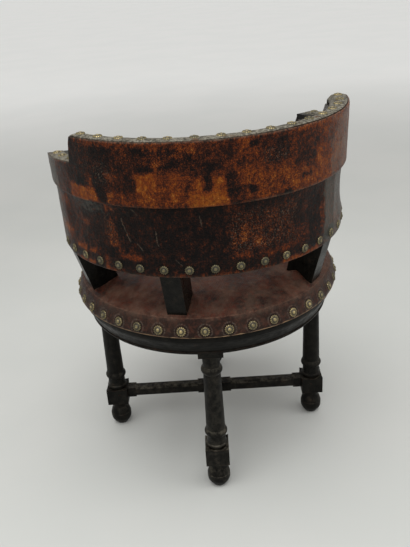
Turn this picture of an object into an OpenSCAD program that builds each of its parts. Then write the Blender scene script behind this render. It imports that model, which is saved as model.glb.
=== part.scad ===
// Desk armchair with a round seat that turns on a four-legged base and a half-round leather back.
// The origin is where the pivot's axis meets the floor; the sitter faces -Y. All sizes are in mm.

/* [Seat] */
// Height of the seat's rim above the floor
seat_h = 460; // [445:1:475]
// Distance by which the rim of the seat stands in from the foot of the skirt
rim_in = 17; // [12:1:24]
// Distance by which the foot of the skirt stands in from the foot of the back
skirt_in = 7; // [5:1:12]
// Height of the leather skirt
skirt_h = 50; // [47:1:54]
// Radius of the turn between skirt and crown
rim_round = 6; // [4.5:0.5:8]
// Rise of the crown above the rim
crown_h = 22; // [10:1:30]
// Thickness of all the leather
leather_t = 2.5; // [1.5:0.5:3]
// Width of the wooden seat ring
seat_ring_w = 86; // [80:1:90]
// Height of the wooden seat ring
seat_ring_h = 36; // [34:1:37]
// Width of each strap of webbing
web_w = 50; // [40:1:60]
// Distance from strap to strap
web_pitch = 84; // [76:1:90]

/* [Pivot] */
// Turn of the seat against the base at rest, in degrees
rest_turn = 21.8; // [0:0.1:90]
// Open gap between the base ring and the leather skirt
swivel_gap = 2; // [1.5:0.1:3]
// Radius of the iron spindle
spindle_r = 12; // [10:0.5:14]
// Radial running clearance of the spindle in its socket
spindle_clear = 0.05; // [0.02:0.01:0.1]
// Radius of the two iron flanges
flange_r = 45; // [40:1:52]
// Thickness of each iron flange
flange_t = 6; // [5:0.5:8]
// Radius of the circle of flange screws
flange_screw_at = 34; // [32:1:36]
// Thickness of the brass thrust washer
thrust_t = 3; // [2:0.5:4]

/* [Base ring] */
// Distance by which the moulded ring stands in from the foot of the back
base_ring_in = 18; // [14:1:22]
// Distance by which the moulding runs in towards its foot
base_foot_in = 15; // [10:1:18]
// Width of the moulded ring
base_ring_w = 74; // [70:1:78]
// Height of the moulded ring
base_ring_h = 48; // [44:1:54]

/* [Legs] */
// Distance of the legs' middles from the outside of the moulded ring
leg_in = 42; // [40:1:48]
// Side of the square blocks on each leg
block_w = 52; // [48:1:56]
// Height of the lower square block at the middle of its sides
block_h = 41; // [38:1:46]
// Height of the turned foot
foot_h = 68; // [60:1:76]
// Largest diameter of the turned foot
foot_d = 51; // [44:1:54]
// Diameter of the foot where it meets the floor
toe_d = 28; // [22:1:34]
// Height of the neck above the block
neck_h = 30; // [26:1:34]
// Diameter of the neck
neck_d = 41; // [36:1:44]
// Diameter of the thin ring round the foot of the neck
neck_ring_d = 48; // [45:1:51]
// Diameter of the lower bead
low_bead_d = 50; // [46:1:54]
// Diameter of the shaft above the lower bead
shaft_low_d = 42; // [38:1:44]
// Diameter of the shaft below the upper bead
shaft_top_d = 37; // [32:1:40]
// Diameter of the upper bead
top_bead_d = 46; // [42:1:50]
// Height of the square cap under the ring
cap_h = 11; // [8:1:14]

/* [Stretchers] */
// Side of the square stretcher bars
bar_w = 26; // [22:1:30]
// Width of the chamfers along the bars
bar_chamfer = 5; // [3:0.5:6]
// Length left square at each leg
bar_square_end = 21; // [14:1:40]
// Half length left square at the crossing
bar_square_mid = 42; // [30:1:50]

/* [Back] */
// Open height between the seat's rim and the back
back_gap = 89; // [75:1:100]
// Height of the lower leather band
lower_band_h = 140; // [126:1:151]
// Height of the arms above the crease between the bands
arm_rise = 68; // [61:1:76]
// Height of the crest above the arms
crest_rise = 51; // [43:1:61]
// Outer radius at the lower edge of the back, from which the other large radii follow
back_r = 308; // [306:1:311]
// Distance by which the lower band leans outwards over its height
back_flare = 2; // [0:0.5:4]
// Distance by which the upper band stands out over the lower one
lip_out = 6; // [4:0.5:8]
// Distance by which the upper band leans outwards over its height
crest_flare = 3.5; // [2:0.5:6]
// Fall of the crest's top towards the sitter
crest_fall = 4.5; // [3:0.5:6]
// Width of the leather strip on top
strip_w = 35.3; // [32:0.1:37]
// Angle from the middle of the back to each arm's tip
tip_at = 99; // [97:0.5:103]
// Angle from the middle of the back to each end of the crest
crest_end_at = 70.5; // [66:0.5:74]
// Distance by which the crest's ends lean inwards at the top
crest_lean = 14; // [0:1:20]
// Fall of each arm from the crest to its tip
arm_fall = 14; // [0:1:20]
// Thickness of the stuffing of the back
stuffing_t = 24; // [16:1:28]

/* [Posts] */
// Angle from the middle of the back to each back post
back_post_at = 34.2; // [30:0.1:36]
// Angle from the middle of the back to each arm post
arm_post_at = 86.6; // [84:0.1:88]
// Width of the posts
post_w = 40; // [36:1:44]
// Depth of the posts where they stand on the seat ring
post_depth = 62; // [56:1:64]
// Depth of the posts under the bow
post_top_depth = 37.3; // [34:0.1:40]
// Distance by which the posts' feet stand in from the foot of the back
post_foot_in = 30.5; // [29:0.5:33]

/* [Nails] */
// Diameter of the rosette heads on the seat
seat_nail_d = 20; // [16:1:22]
// Diameter of the rosette heads on the back
back_nail_d = 18; // [14:1:20]
// Number of nails round the seat
seat_nail_count = 39; // [30:1:42]
// Number of nails along the lower edge of the back
back_nail_count = 21; // [15:2:25]
// Number of nails along the crest
crest_nail_count = 16; // [10:1:18]
// Number of nails on each arm's top
arm_nail_count = 3; // [2:1:4]
// Number of nails on each arm's front end
end_nail_count = 5; // [3:1:7]

/* [Hidden] */

round_fn = 120;
small_fn = 40;
overrun = 5;
fit_gap = 0.2;
full_turn = 360;
quarter = full_turn / 4;
halves = 2;

wood_colour = "#231d1a";
iron_colour = "#4b4a4c";
brass_colour = "#96895c";
hessian_colour = "#a38e66";
stuffing_colour = "#c9b68f";
seat_colour = "#5c342b";
band_colour = "#7a3d1c";
low_band_colour = "#33241f";
strip_colour = "#8a8672";

// Radii and levels that follow from the values above
skirt_r = back_r - skirt_in;
rim_r = skirt_r - rim_in;
base_ring_r = back_r - base_ring_in;
base_foot_r = base_ring_r - base_foot_in;
leg_circle_r = base_ring_r - leg_in;
crease_r = back_r + back_flare;
band_r = crease_r + lip_out;
crest_r = band_r + crest_flare;
post_foot_r = back_r - post_foot_in;
back_z = seat_h + back_gap;
crease_z = back_z + lower_band_h;
arm_z = crease_z + arm_rise;
crest_z = arm_z + crest_rise;

// Levels of the base and the seat
skirt_z = seat_h - skirt_h;
base_ring_top = skirt_z - swivel_gap;
base_ring_z = base_ring_top - base_ring_h;
base_ring_in_r = base_ring_r - base_ring_w;
skirt_lip = 1.5;
seat_ring_z = skirt_z + skirt_lip;
seat_ring_top = seat_ring_z + seat_ring_h;
seat_ring_in_r = skirt_r - seat_ring_w;
skirt_slope = (skirt_r - rim_r) / skirt_h;
skirt_tilt = atan(skirt_slope);
wood_inset = leather_t + fit_gap;

// Legs: each turned member's height, from the floor up
bowl_h = 22;
belly_h = 10;
belly_line = 1;
shoulder_h = 18;
foot_neck_d = 36;
neck_ring_from = 4;
neck_ring_h = 8;
neck_flare = 6;
neck_groove_d = neck_d + 2;
low_bead_h = 18;
top_bead_h = 19;
collar_d = shaft_top_d;
collar_h = 31;
bead_steps = 8;
leg_tenon_d = 26;
leg_tenon_h = 30;
corner_rise = 5;
dish_step = 2;
block_top = foot_h + block_h;
neck_top = block_top + neck_h;
shaft_z = neck_top + low_bead_h;
collar_z = base_ring_z - cap_h - collar_h;
shaft_top = collar_z - top_bead_h;

// Stretchers
bar_down = 2.5;
bar_z = block_top - bar_down - bar_w / 2;
bar_tenon_w = 11;
bar_tenon_h = 18;
bar_tenon_past = 10;
shoulder_r = leg_circle_r - block_w / 2;
peg_r = 3.5;
peg_in = 6;
peg_at = leg_circle_r - peg_in;

// Base ring: its moulded outer side as shares of its height and of its step outwards
ring_moulding_shares = [[0, 0], [0.04, 0.12], [0.1, 0.14], [0.12, 0], [0.18, 0.1], [0.34, 0.28],
    [0.5, 0.54], [0.64, 0.82], [0.74, 0.96], [0.84, 1], [0.95, 1], [1, 0.88]];
joint_at = quarter / 2;

// Pivot: levels from the seat bearers down
spindle_flange_z = seat_ring_z - flange_t;
thrust_z = spindle_flange_z - thrust_t;
socket_flange_z = thrust_z - flange_t;
base_rail_h = socket_flange_z - base_ring_z;
base_rail_w = 60;
base_rail_bearing = 40;
base_rail_reach = base_ring_in_r + base_rail_bearing;
rail_screw_in = 12;
socket_wall = 5;
socket_drop = 8;
socket_end_z = base_ring_z - socket_drop;
end_play = 0.3;
washer_t = 3;
washer_rim = 10;
washer_r = spindle_r + washer_rim;
nut_t = 10;
nut_rim = 8;
nut_r = spindle_r + nut_rim;
nut_sides = 6;
nut_clear = 0.1;
spindle_past = 4;
spindle_end_z = socket_end_z - end_play - washer_t - nut_t - spindle_past;
thrust_rim = 12;
thrust_r = spindle_r + thrust_rim;
friction_in = 30;
friction_w = 34;
friction_gap = 0.4;
screw_r = 2.2;
screw_head_r = 4.2;
screw_head_h = 2.4;
screw_len = 18;
screw_clear = 0.2;

// Seat: bearers, webbing and stuffing
bearer_w = 60;
bearer_h = 24;
bearer_bearing = 30;
bearer_reach = seat_ring_in_r + bearer_bearing;
web_t = 1.6;
web_bearing = 45;
web_r = seat_ring_in_r + web_bearing;
web_count = 5;
hessian_t = 0.8;
hessian_in = 3;
hessian_r = web_r - hessian_in;
stuffing_z = seat_ring_top + 2 * web_t + hessian_t;
rim_steps = 6;
crown_steps = 14;

// Posts and back frame
post_tenon_w = 20;
post_tenon_d = 34;
post_tenon_h = 26;
post_top_tenon_d = 18;
post_top_tenon_h = 24;
band_lip = 4;
bow_z = crease_z + band_lip;
bow_top = arm_z - wood_inset;
crest_top = crest_z - wood_inset;
rail_lip = 2;
rail_z = back_z + rail_lip;
rail_h = 35;
rail_tenon_len = 12;
rail_tenon_inset = 18;
rail_tenon_h = 20;
edge_drop = 1;
dowel_r = 5;
dowel_len = 40;
dowel_count = 4;
dowel_end_in = 12;
dowel_span = 2 * (crest_end_at - dowel_end_in);
hessian_up = 20;
hessian_top = bow_z + hessian_up;
strip_out_r = crest_r - leather_t - fit_gap;
strip_in_r = strip_out_r - strip_w;
strip_mid_r = strip_out_r - strip_w / 2;
ridge_r = strip_mid_r - strip_w / 8;
soft_top = crest_z - leather_t - crest_fall;
end_deg = atan(leather_t / strip_mid_r);
tip_in = tip_at - end_deg;

// Stuffing of the back: shares of its height against shares of its thickness
stuffing_shares = [[0, 0.1], [0.1, 0.14], [0.15, 0.5], [0.24, 0.85], [0.36, 1], [0.54, 0.98],
    [0.7, 0.86], [0.84, 0.66], [0.94, 0.4], [1, 0.12]];

// Nails
nail_rim = 1;
nail_dome = 4.5;
nail_steps = 6;
nail_shank_r = 1.1;
nail_shank_h = 14;
seat_nail_drop = 34.5;
seat_nail_z = seat_h - seat_nail_drop;
back_nail_up = 13.5;
back_nail_z = back_z + back_nail_up;
back_nail_step = 8.95;
crest_nail_in = 4.5;
crest_nail_span = 2 * (crest_end_at - crest_nail_in);
arm_nail_first = crest_end_at + crest_nail_in;
arm_nail_step = 8.8;
lining_nail_up = 12;
end_nail_low = 24;

function lerp(a, b, s) = a + (b - a) * s;

// Outer radius of the skirt at height z, taken in by inset across the leather
function skirt_at(z, inset) = skirt_r - (z - skirt_z) * skirt_slope - inset / cos(skirt_tilt);

// Half section of the seat from height z up, taken in by inset
function seat_outline(inset, z) =
    let (centre_z = seat_h - rim_round, centre_r = skirt_at(centre_z, rim_round), turn_r = rim_round - inset,
        edge_tilt = atan(2 * crown_h / centre_r),
        edge_r = centre_r + turn_r * sin(edge_tilt), edge_z = centre_z + turn_r * cos(edge_tilt))
    concat([[0, z], [skirt_at(z, inset), z]],
        [for (i = [0:rim_steps]) let (a = lerp(skirt_tilt, quarter - edge_tilt, i / rim_steps))
            [centre_r + turn_r * cos(a), centre_z + turn_r * sin(a)]],
        [for (i = [1:crown_steps]) let (s = 1 - i / crown_steps) [edge_r * s, edge_z + crown_h * (1 - s * s)]]);

// Outer radius of the lower and of the upper leather band at height z
function lower_at(z) = lerp(back_r, crease_r, (z - back_z) / (crease_z - back_z));
function upper_at(z) = lerp(band_r, crest_r, (z - crease_z) / (crest_z - crease_z));

// Outer and inner radius of a post at height z
function post_out(z) = z < back_z
    ? lerp(post_foot_r, lower_at(back_z) - wood_inset, (z - seat_ring_top) / (back_z - seat_ring_top))
    : lower_at(z) - wood_inset;
post_top_in = post_out(bow_z) - post_top_depth;

// Distance of a post's flat outer face, whose corners lie on that radius
function post_face(z) = sqrt(post_out(z) * post_out(z) - post_w * post_w / (halves * halves));

function post_in(z) = lerp(post_foot_r - post_depth, post_top_in, (z - seat_ring_top) / (bow_z - seat_ring_top));

// Radius of the face that carries the stuffing of the back: the posts, then the bow, then the crest
function support_at(z) = z < bow_z ? post_in(z) : lerp(post_top_in, strip_in_r, (z - bow_z) / (crest_z - bow_z));

// The stuffed inside of the back as it faces the sitter, from the bottom up, taken in by inset
function inside_face(inset) = [for (s = stuffing_shares)
    let (z = lerp(rail_z + inset, soft_top - inset, s[0]))
        [support_at(z) - fit_gap - leather_t - stuffing_t * s[1] + inset, z]];

// The same as a closed half section, widened outwards by out
function inside_outline(inset, out) = let (in_r = post_top_in - fit_gap + out, top_r = strip_in_r - fit_gap + out)
    concat(inside_face(inset), [[top_r, soft_top - inset], [top_r, bow_z - out], [in_r, bow_z - out],
        [post_in(rail_z) - fit_gap + out, rail_z + inset]]);

// Half section of the stuffing itself, in front of the hessian, the bow and the crest rail
function stuffing_outline() = let (in_r = post_top_in - fit_gap, hessian_in = in_r - hessian_t - fit_gap,
    low_z = rail_z + wood_inset)
    concat(inside_face(wood_inset), [[strip_in_r - fit_gap, soft_top - wood_inset],
        [strip_in_r - fit_gap, bow_top + fit_gap], [in_r, bow_top + fit_gap], [in_r, hessian_top + fit_gap],
        [hessian_in, hessian_top + fit_gap], [hessian_in, bow_z],
        [post_in(low_z) - 2 * fit_gap - hessian_t, low_z]]);

// Section of the space that a leather strip fills between two heights, and its fall towards the sitter
function strip_outline(low, high, fall) = [[strip_in_r, low], [upper_at(low) - wood_inset, low],
    [upper_at(high) - wood_inset, high], [ridge_r, high], [strip_in_r, high - fall]];

// Half circle of a turned bead between heights z and z + h
function bead(z, h, low_r, top_r, out_r) = [for (i = [0:bead_steps]) let (s = i / bead_steps)
    [lerp(lerp(low_r, top_r, s), out_r, sin(s * full_turn / 2)), z + h * s]];

// Quarter curve of a turned foot that swells, or draws in, between heights z and z + h
function swell(z, h, low_r, top_r) = [for (i = [0:bead_steps]) let (s = i / bead_steps)
    [low_r < top_r ? lerp(low_r, top_r, sin(s * quarter)) : lerp(top_r, low_r, cos(s * quarter)), z + h * s]];

// A full ring turned from a half section
module ring(points) {
    rotate_extrude($fn = round_fn) polygon(points);
}

// Part of a ring, from one angle to another, both measured from the middle of the back
module arc(from, to, points) {
    rotate([0, 0, quarter + from]) rotate_extrude(angle = to - from, $fn = round_fn) polygon(points);
}

// Left pieces are drawn on +X and right pieces are their mirror image
module left_side() {
    mirror([1, 0, 0]) children();
}

// A bar that lies along X, halved at its middle from above or from below
module halved_bar(reach, w, h, z, from_above) {
    half = h / halves;
    difference() {
        translate([-reach, -w / 2, z]) cube([2 * reach, w, h]);
        translate([-w / 2 - fit_gap, -w, from_above ? z + half : z - overrun])
            cube([w + 2 * fit_gap, 2 * w, half + overrun]);
    }
}

module wood_screw() {
    translate([0, 0, -screw_len]) cylinder(r = screw_r, h = screw_len, $fn = small_fn);
    rotate_extrude($fn = small_fn) polygon([[0, 0], [screw_head_r, 0], [screw_head_r * 0.7, screw_head_h], [0, screw_head_h]]);
}

// Places its children at the four flange screws
module at_flange_screws() {
    for (i = [0:3]) rotate([0, 0, i * quarter]) translate([flange_screw_at, 0, 0]) children();
}

// Base

module leg() {
    belly_z = bowl_h + belly_h;
    ring_z = block_top + neck_ring_from;
    turned = concat([[0, 0]], swell(0, bowl_h, toe_d / 2, foot_d / 2),
        [[foot_d / 2, belly_z]], swell(belly_z + belly_line, shoulder_h, foot_d / 2 - belly_line, foot_neck_d / 2),
        [[foot_neck_d / 2, foot_h], [neck_groove_d / 2, block_top - dish_step]],
        bead(ring_z, neck_ring_h, neck_groove_d / 2, neck_groove_d / 2, neck_ring_d / 2),
        [[neck_d / 2, ring_z + neck_ring_h + neck_flare]],
        bead(neck_top, low_bead_h, neck_d / 2, shaft_low_d / 2, low_bead_d / 2),
        bead(shaft_top, top_bead_h, shaft_top_d / 2, collar_d / 2, top_bead_d / 2),
        [[collar_d / 2, base_ring_z], [leg_tenon_d / 2, base_ring_z],
            [leg_tenon_d / 2, base_ring_z + leg_tenon_h], [0, base_ring_z + leg_tenon_h]]);
    dish_r = block_w / 2;
    corner_r = dish_r * sqrt(halves);
    cut_top = block_top + corner_rise;
    color(wood_colour) translate([leg_circle_r, 0, 0]) difference() {
        union() {
            rotate_extrude($fn = small_fn) polygon(turned);
            translate([-block_w / 2, -block_w / 2, base_ring_z - cap_h]) cube([block_w, block_w, cap_h]);
            difference() {
                translate([-block_w / 2, -block_w / 2, foot_h]) cube([block_w, block_w, block_h + corner_rise]);
                rotate_extrude($fn = small_fn) polygon([[0, block_top - dish_step],
                    [neck_groove_d / 2 - overrun, block_top - dish_step], [dish_r, block_top],
                    [corner_r + overrun, cut_top], [corner_r + overrun, cut_top + overrun], [0, cut_top + overrun]]);
            }
        }
        translate([-block_w / 2 - overrun, -bar_tenon_w / 2 - fit_gap, bar_z - bar_tenon_h / 2 - fit_gap])
            cube([block_w / 2 + overrun + bar_tenon_past + fit_gap, bar_tenon_w + 2 * fit_gap, bar_tenon_h + 2 * fit_gap]);
        translate([peg_at - leg_circle_r, block_w / 2 + overrun, bar_z]) rotate([quarter, 0, 0])
            cylinder(r = peg_r + fit_gap / 2, h = block_w + 2 * overrun, $fn = small_fn);
    }
}

// Base pieces are drawn with the legs on the axes and then turned to the rest position
module on_base() {
    rotate([0, 0, -rest_turn]) children();
}

module leg_at(i) {
    on_base() rotate([0, 0, (i - 1) * quarter]) leg();
}

module stretcher(from_above) {
    chamfer_side = bar_chamfer * sqrt(halves);
    tenon_reach = leg_circle_r + bar_tenon_past;
    chamfer_from = bar_square_mid;
    chamfer_len = shoulder_r - bar_square_end - bar_square_mid;
    color(wood_colour) difference() {
        union() {
            halved_bar(shoulder_r, bar_w, bar_w, bar_z - bar_w / 2, from_above);
            for (end = [0, 1]) rotate([0, 0, end * 2 * quarter])
                translate([shoulder_r - overrun, -bar_tenon_w / 2, bar_z - bar_tenon_h / 2])
                    cube([tenon_reach - shoulder_r + overrun, bar_tenon_w, bar_tenon_h]);
        }
        for (end = [0, 1], y = [-1, 1], z = [-1, 1]) rotate([0, 0, end * 2 * quarter])
            translate([chamfer_from, y * bar_w / 2, bar_z + z * bar_w / 2]) rotate([quarter / 2, 0, 0])
                translate([0, -chamfer_side / 2, -chamfer_side / 2]) cube([chamfer_len, chamfer_side, chamfer_side]);
        for (end = [0, 1]) rotate([0, 0, end * 2 * quarter]) translate([peg_at, block_w, bar_z])
            rotate([quarter, 0, 0]) cylinder(r = peg_r + fit_gap / 2, h = 2 * block_w, $fn = small_fn);
    }
}

module stretcher_over() { on_base() stretcher(false); }

module stretcher_under() { on_base() rotate([0, 0, quarter]) stretcher(true); }

module stretcher_pegs() {
    color(wood_colour) on_base() for (i = [0:3]) rotate([0, 0, i * quarter])
        translate([peg_at, block_w / 2, bar_z]) rotate([quarter, 0, 0]) cylinder(r = peg_r, h = block_w, $fn = small_fn);
}

module base_ring_arc(i) {
    side = [for (s = ring_moulding_shares)
        [lerp(base_foot_r, base_ring_r, s[1]), lerp(base_ring_z, base_ring_top, s[0])]];
    color(wood_colour) on_base() difference() {
        rotate([0, 0, (i - 1) * quarter - joint_at]) rotate_extrude(angle = quarter, $fn = round_fn)
            polygon(concat([[base_ring_in_r, base_ring_top], [base_ring_in_r, base_ring_z]], side));
        rotate([0, 0, (i - 1) * quarter]) translate([leg_circle_r, 0, base_ring_z - overrun])
            cylinder(r = leg_tenon_d / 2 + fit_gap / 2, h = leg_tenon_h + overrun + fit_gap, $fn = small_fn);
        for (turn = [0, quarter]) rotate([0, 0, joint_at + turn])
            translate([-base_rail_reach - fit_gap, -base_rail_w / 2 - fit_gap, base_ring_z - overrun])
                cube([2 * (base_rail_reach + fit_gap), base_rail_w + 2 * fit_gap, base_rail_h + overrun + fit_gap]);
    }
}

module base_rail(from_above) {
    color(wood_colour) difference() {
        halved_bar(base_rail_reach, base_rail_w, base_rail_h, base_ring_z, from_above);
        translate([0, 0, base_ring_z - overrun])
            cylinder(r = spindle_r + socket_wall + fit_gap, h = base_rail_h + 2 * overrun, $fn = round_fn);
    }
}

module base_rail_over() { on_base() rotate([0, 0, joint_at]) base_rail(false); }

module base_rail_under() { on_base() rotate([0, 0, joint_at + quarter]) base_rail(true); }

// Where the rails' ends are screwed to the ring from below
module base_rail_screws() {
    screw_at = (base_ring_in_r + base_rail_reach) / 2;
    color(iron_colour) on_base() for (i = [0:3], y = [-1, 1]) rotate([0, 0, joint_at + i * quarter])
        translate([screw_at, y * rail_screw_in, base_ring_z]) rotate([2 * quarter, 0, 0]) rail_screw();
}

module rail_screw() {
    rail_screw_len = base_rail_h + (base_ring_top - base_ring_z - base_rail_h) / 2;
    translate([0, 0, -rail_screw_len]) cylinder(r = screw_r, h = rail_screw_len, $fn = small_fn);
    cylinder(r = screw_head_r, h = screw_head_h, $fn = small_fn);
}

module friction_ring() {
    in_r = base_ring_in_r + friction_in;
    color(brass_colour) ring([[in_r, base_ring_top], [in_r + friction_w, base_ring_top],
        [in_r + friction_w, seat_ring_z - friction_gap], [in_r, seat_ring_z - friction_gap]]);
}

module pivot_socket() {
    bore_r = spindle_r + spindle_clear;
    tube_r = spindle_r + socket_wall;
    color(iron_colour) on_base() difference() {
        union() {
            translate([0, 0, socket_flange_z]) cylinder(r = flange_r, h = flange_t, $fn = round_fn);
            translate([0, 0, socket_end_z]) cylinder(r = tube_r, h = socket_flange_z + flange_t - socket_end_z, $fn = round_fn);
        }
        translate([0, 0, socket_end_z - overrun])
            cylinder(r = bore_r, h = thrust_z - socket_end_z + 2 * overrun, $fn = round_fn);
        at_flange_screws() translate([0, 0, socket_flange_z - overrun])
            cylinder(r = screw_r + screw_clear, h = flange_t + 2 * overrun, $fn = small_fn);
        at_flange_screws() translate([0, 0, thrust_z - screw_head_h])
            cylinder(r = screw_head_r + screw_clear, h = screw_head_h + overrun, $fn = small_fn);
    }
}

module socket_screws() {
    color(iron_colour) on_base() at_flange_screws() translate([0, 0, thrust_z - screw_head_h]) wood_screw();
}

module thrust_washer() {
    color(brass_colour) translate([0, 0, thrust_z]) difference() {
        cylinder(r = thrust_r, h = thrust_t, $fn = round_fn);
        translate([0, 0, -overrun]) cylinder(r = spindle_r + spindle_clear, h = thrust_t + 2 * overrun, $fn = round_fn);
    }
}

// Seat

module pivot_spindle() {
    color(iron_colour) difference() {
        union() {
            translate([0, 0, spindle_flange_z]) cylinder(r = flange_r, h = flange_t, $fn = round_fn);
            translate([0, 0, spindle_end_z]) cylinder(r = spindle_r, h = spindle_flange_z + flange_t - spindle_end_z, $fn = round_fn);
        }
        at_flange_screws() translate([0, 0, spindle_flange_z - overrun])
            cylinder(r = screw_r + screw_clear, h = flange_t + 2 * overrun, $fn = small_fn);
        at_flange_screws() translate([0, 0, spindle_flange_z - overrun])
            cylinder(r = screw_head_r + screw_clear, h = screw_head_h + overrun, $fn = small_fn);
    }
}

module spindle_screws() {
    color(iron_colour) at_flange_screws() translate([0, 0, spindle_flange_z + screw_head_h])
        rotate([2 * quarter, 0, 0]) wood_screw();
}

module retaining_washer() {
    color(iron_colour) translate([0, 0, socket_end_z - end_play - washer_t]) difference() {
        cylinder(r = washer_r, h = washer_t, $fn = round_fn);
        translate([0, 0, -overrun]) cylinder(r = spindle_r + nut_clear, h = washer_t + 2 * overrun, $fn = round_fn);
    }
}

module retaining_nut() {
    color(iron_colour) translate([0, 0, socket_end_z - end_play - washer_t - nut_t]) difference() {
        cylinder(r = nut_r, h = nut_t, $fn = nut_sides);
        translate([0, 0, -overrun]) cylinder(r = spindle_r + nut_clear, h = nut_t + 2 * overrun, $fn = round_fn);
    }
}

module seat_bearer_over() {
    color(wood_colour) rotate([0, 0, joint_at]) halved_bar(bearer_reach, bearer_w, bearer_h, seat_ring_z, false);
}

module seat_bearer_under() {
    color(wood_colour) rotate([0, 0, joint_at + quarter]) halved_bar(bearer_reach, bearer_w, bearer_h, seat_ring_z, true);
}

module seat_ring_arc(i) {
    color(wood_colour) difference() {
        rotate([0, 0, (i - 1) * quarter + joint_at]) rotate_extrude(angle = quarter, $fn = round_fn)
            polygon([[seat_ring_in_r, seat_ring_z], [skirt_at(seat_ring_z, wood_inset), seat_ring_z],
                [skirt_at(seat_ring_top, wood_inset), seat_ring_top], [seat_ring_in_r, seat_ring_top]]);
        for (turn = [0, quarter]) rotate([0, 0, joint_at + turn])
            translate([-bearer_reach - fit_gap, -bearer_w / 2 - fit_gap, seat_ring_z - overrun])
                cube([2 * (bearer_reach + fit_gap), bearer_w + 2 * fit_gap, bearer_h + overrun + fit_gap]);
        for (at = post_angles) post_foot_tenon(at, fit_gap / 2);
    }
}

// One layer of straps along X
module straps(z) {
    for (i = [0:web_count - 1]) intersection() {
        translate([-web_r, (i - (web_count - 1) / 2) * web_pitch - web_w / 2, z]) cube([2 * web_r, web_w, web_t]);
        translate([0, 0, z - overrun]) cylinder(r = web_r, h = web_t + 2 * overrun, $fn = round_fn);
    }
}

module seat_webbing() {
    color(hessian_colour) difference() {
        union() {
            straps(seat_ring_top);
            rotate([0, 0, quarter]) straps(seat_ring_top + web_t);
        }
        post_sockets();
    }
}

module seat_hessian() {
    color(hessian_colour) difference() {
        translate([0, 0, stuffing_z - hessian_t]) cylinder(r = hessian_r, h = hessian_t, $fn = round_fn);
        post_sockets();
    }
}

module seat_stuffing() {
    color(stuffing_colour) difference() {
        ring(seat_outline(wood_inset, stuffing_z));
        post_sockets();
    }
}

module seat_leather() {
    color(seat_colour) difference() {
        ring(seat_outline(0, skirt_z));
        ring(seat_outline(leather_t, skirt_z - overrun));
        post_sockets();
    }
}

// Posts

post_angles = [-arm_post_at, -back_post_at, back_post_at, arm_post_at];

// Places its children in a post's plane: X outwards, Z up, with the post centred on Y
module at_post(at) {
    rotate([0, 0, quarter + at]) children();
}

// The side view of a post, from height z up, grown by grow, as a board of width w
module post_board(z, grow, w) {
    translate([0, w / 2, 0]) rotate([quarter, 0, 0]) linear_extrude(w)
        polygon([[post_in(z) - grow, z], [post_face(z) + grow, z], [post_face(back_z) + grow, back_z],
            [post_face(bow_z) + grow, bow_z], [post_in(bow_z) - grow, bow_z]]);
}

// What the seat's soft pieces are cut away by where the posts stand
module post_sockets() {
    for (at = post_angles) at_post(at) post_board(seat_ring_top, fit_gap, post_w + 2 * fit_gap);
}

module post_foot_tenon(at, grow) {
    mid_r = (post_in(seat_ring_top) + post_out(seat_ring_top)) / 2;
    at_post(at) translate([mid_r - post_tenon_d / 2 - grow, -post_tenon_w / 2 - grow, seat_ring_top - post_tenon_h - grow])
        cube([post_tenon_d + 2 * grow, post_tenon_w + 2 * grow, post_tenon_h + grow + overrun]);
}

module post_top_tenon(at, grow) {
    mid_r = (post_in(bow_z) + post_out(bow_z)) / 2;
    at_post(at) translate([mid_r - post_top_tenon_d / 2 - grow, -post_tenon_w / 2 - grow, bow_z - overrun])
        cube([post_top_tenon_d + 2 * grow, post_tenon_w + 2 * grow, post_top_tenon_h + grow + overrun]);
}

// Rail tenons reach into the posts from both sides and stop short of a web in the middle
module rail_tenons(from, to, grow) {
    low = rail_z + (rail_h - rail_tenon_h) / 2 - grow;
    high = low + rail_tenon_h + 2 * grow;
    web = post_w / 2 - rail_tenon_len - grow;
    difference() {
        arc(from, to, [[post_in(low) + rail_tenon_inset - grow, low], [post_out(low) - rail_tenon_inset + grow, low],
            [post_out(high) - rail_tenon_inset + grow, high], [post_in(high) + rail_tenon_inset - grow, high]]);
        for (at = post_angles) at_post(at) translate([post_in(low) - overrun, -web, low - overrun])
            cube([post_depth + 2 * overrun, 2 * web, high - low + 2 * overrun]);
    }
}

module post(at, tenons_from, tenons_to) {
    color(wood_colour) difference() {
        union() {
            at_post(at) post_board(seat_ring_top, 0, post_w);
            post_foot_tenon(at, 0);
            post_top_tenon(at, 0);
        }
        rail_tenons(tenons_from, tenons_to, fit_gap / 2);
    }
}

module back_post_right() { post(back_post_at, -arm_post_at, arm_post_at); }

module back_post_left() { left_side() back_post_right(); }

module arm_post_right() { post(arm_post_at, 0, arm_post_at); }

module arm_post_left() { left_side() arm_post_right(); }

// Back frame

module bottom_rail(from, to) {
    top = rail_z + rail_h;
    color(wood_colour) {
        difference() {
            arc(from, to, [[post_in(rail_z), rail_z], [post_out(rail_z), rail_z], [post_out(top), top], [post_in(top), top]]);
            for (at = post_angles) at_post(at) translate([0, -post_w / 2 - fit_gap, rail_z - overrun])
                cube([crest_r, post_w + 2 * fit_gap, rail_h + 2 * overrun]);
        }
        rail_tenons(from, to, 0);
    }
}

module bottom_rail_middle() { bottom_rail(-back_post_at, back_post_at); }

module bottom_rail_right() { bottom_rail(back_post_at, arm_post_at); }

module bottom_rail_left() { left_side() bottom_rail_right(); }

module arm_front_block_right() {
    color(wood_colour) difference() {
        arc(arm_post_at, tip_in - end_deg / 2, [[post_in(rail_z), rail_z], [post_out(rail_z), rail_z],
            [post_out(bow_z), bow_z], [post_in(bow_z), bow_z]]);
        at_post(arm_post_at) translate([0, -post_w / 2 - fit_gap, rail_z - overrun])
            cube([crest_r, post_w + 2 * fit_gap, bow_z - rail_z + 2 * overrun]);
    }
}

module arm_front_block_left() { left_side() arm_front_block_right(); }

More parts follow.
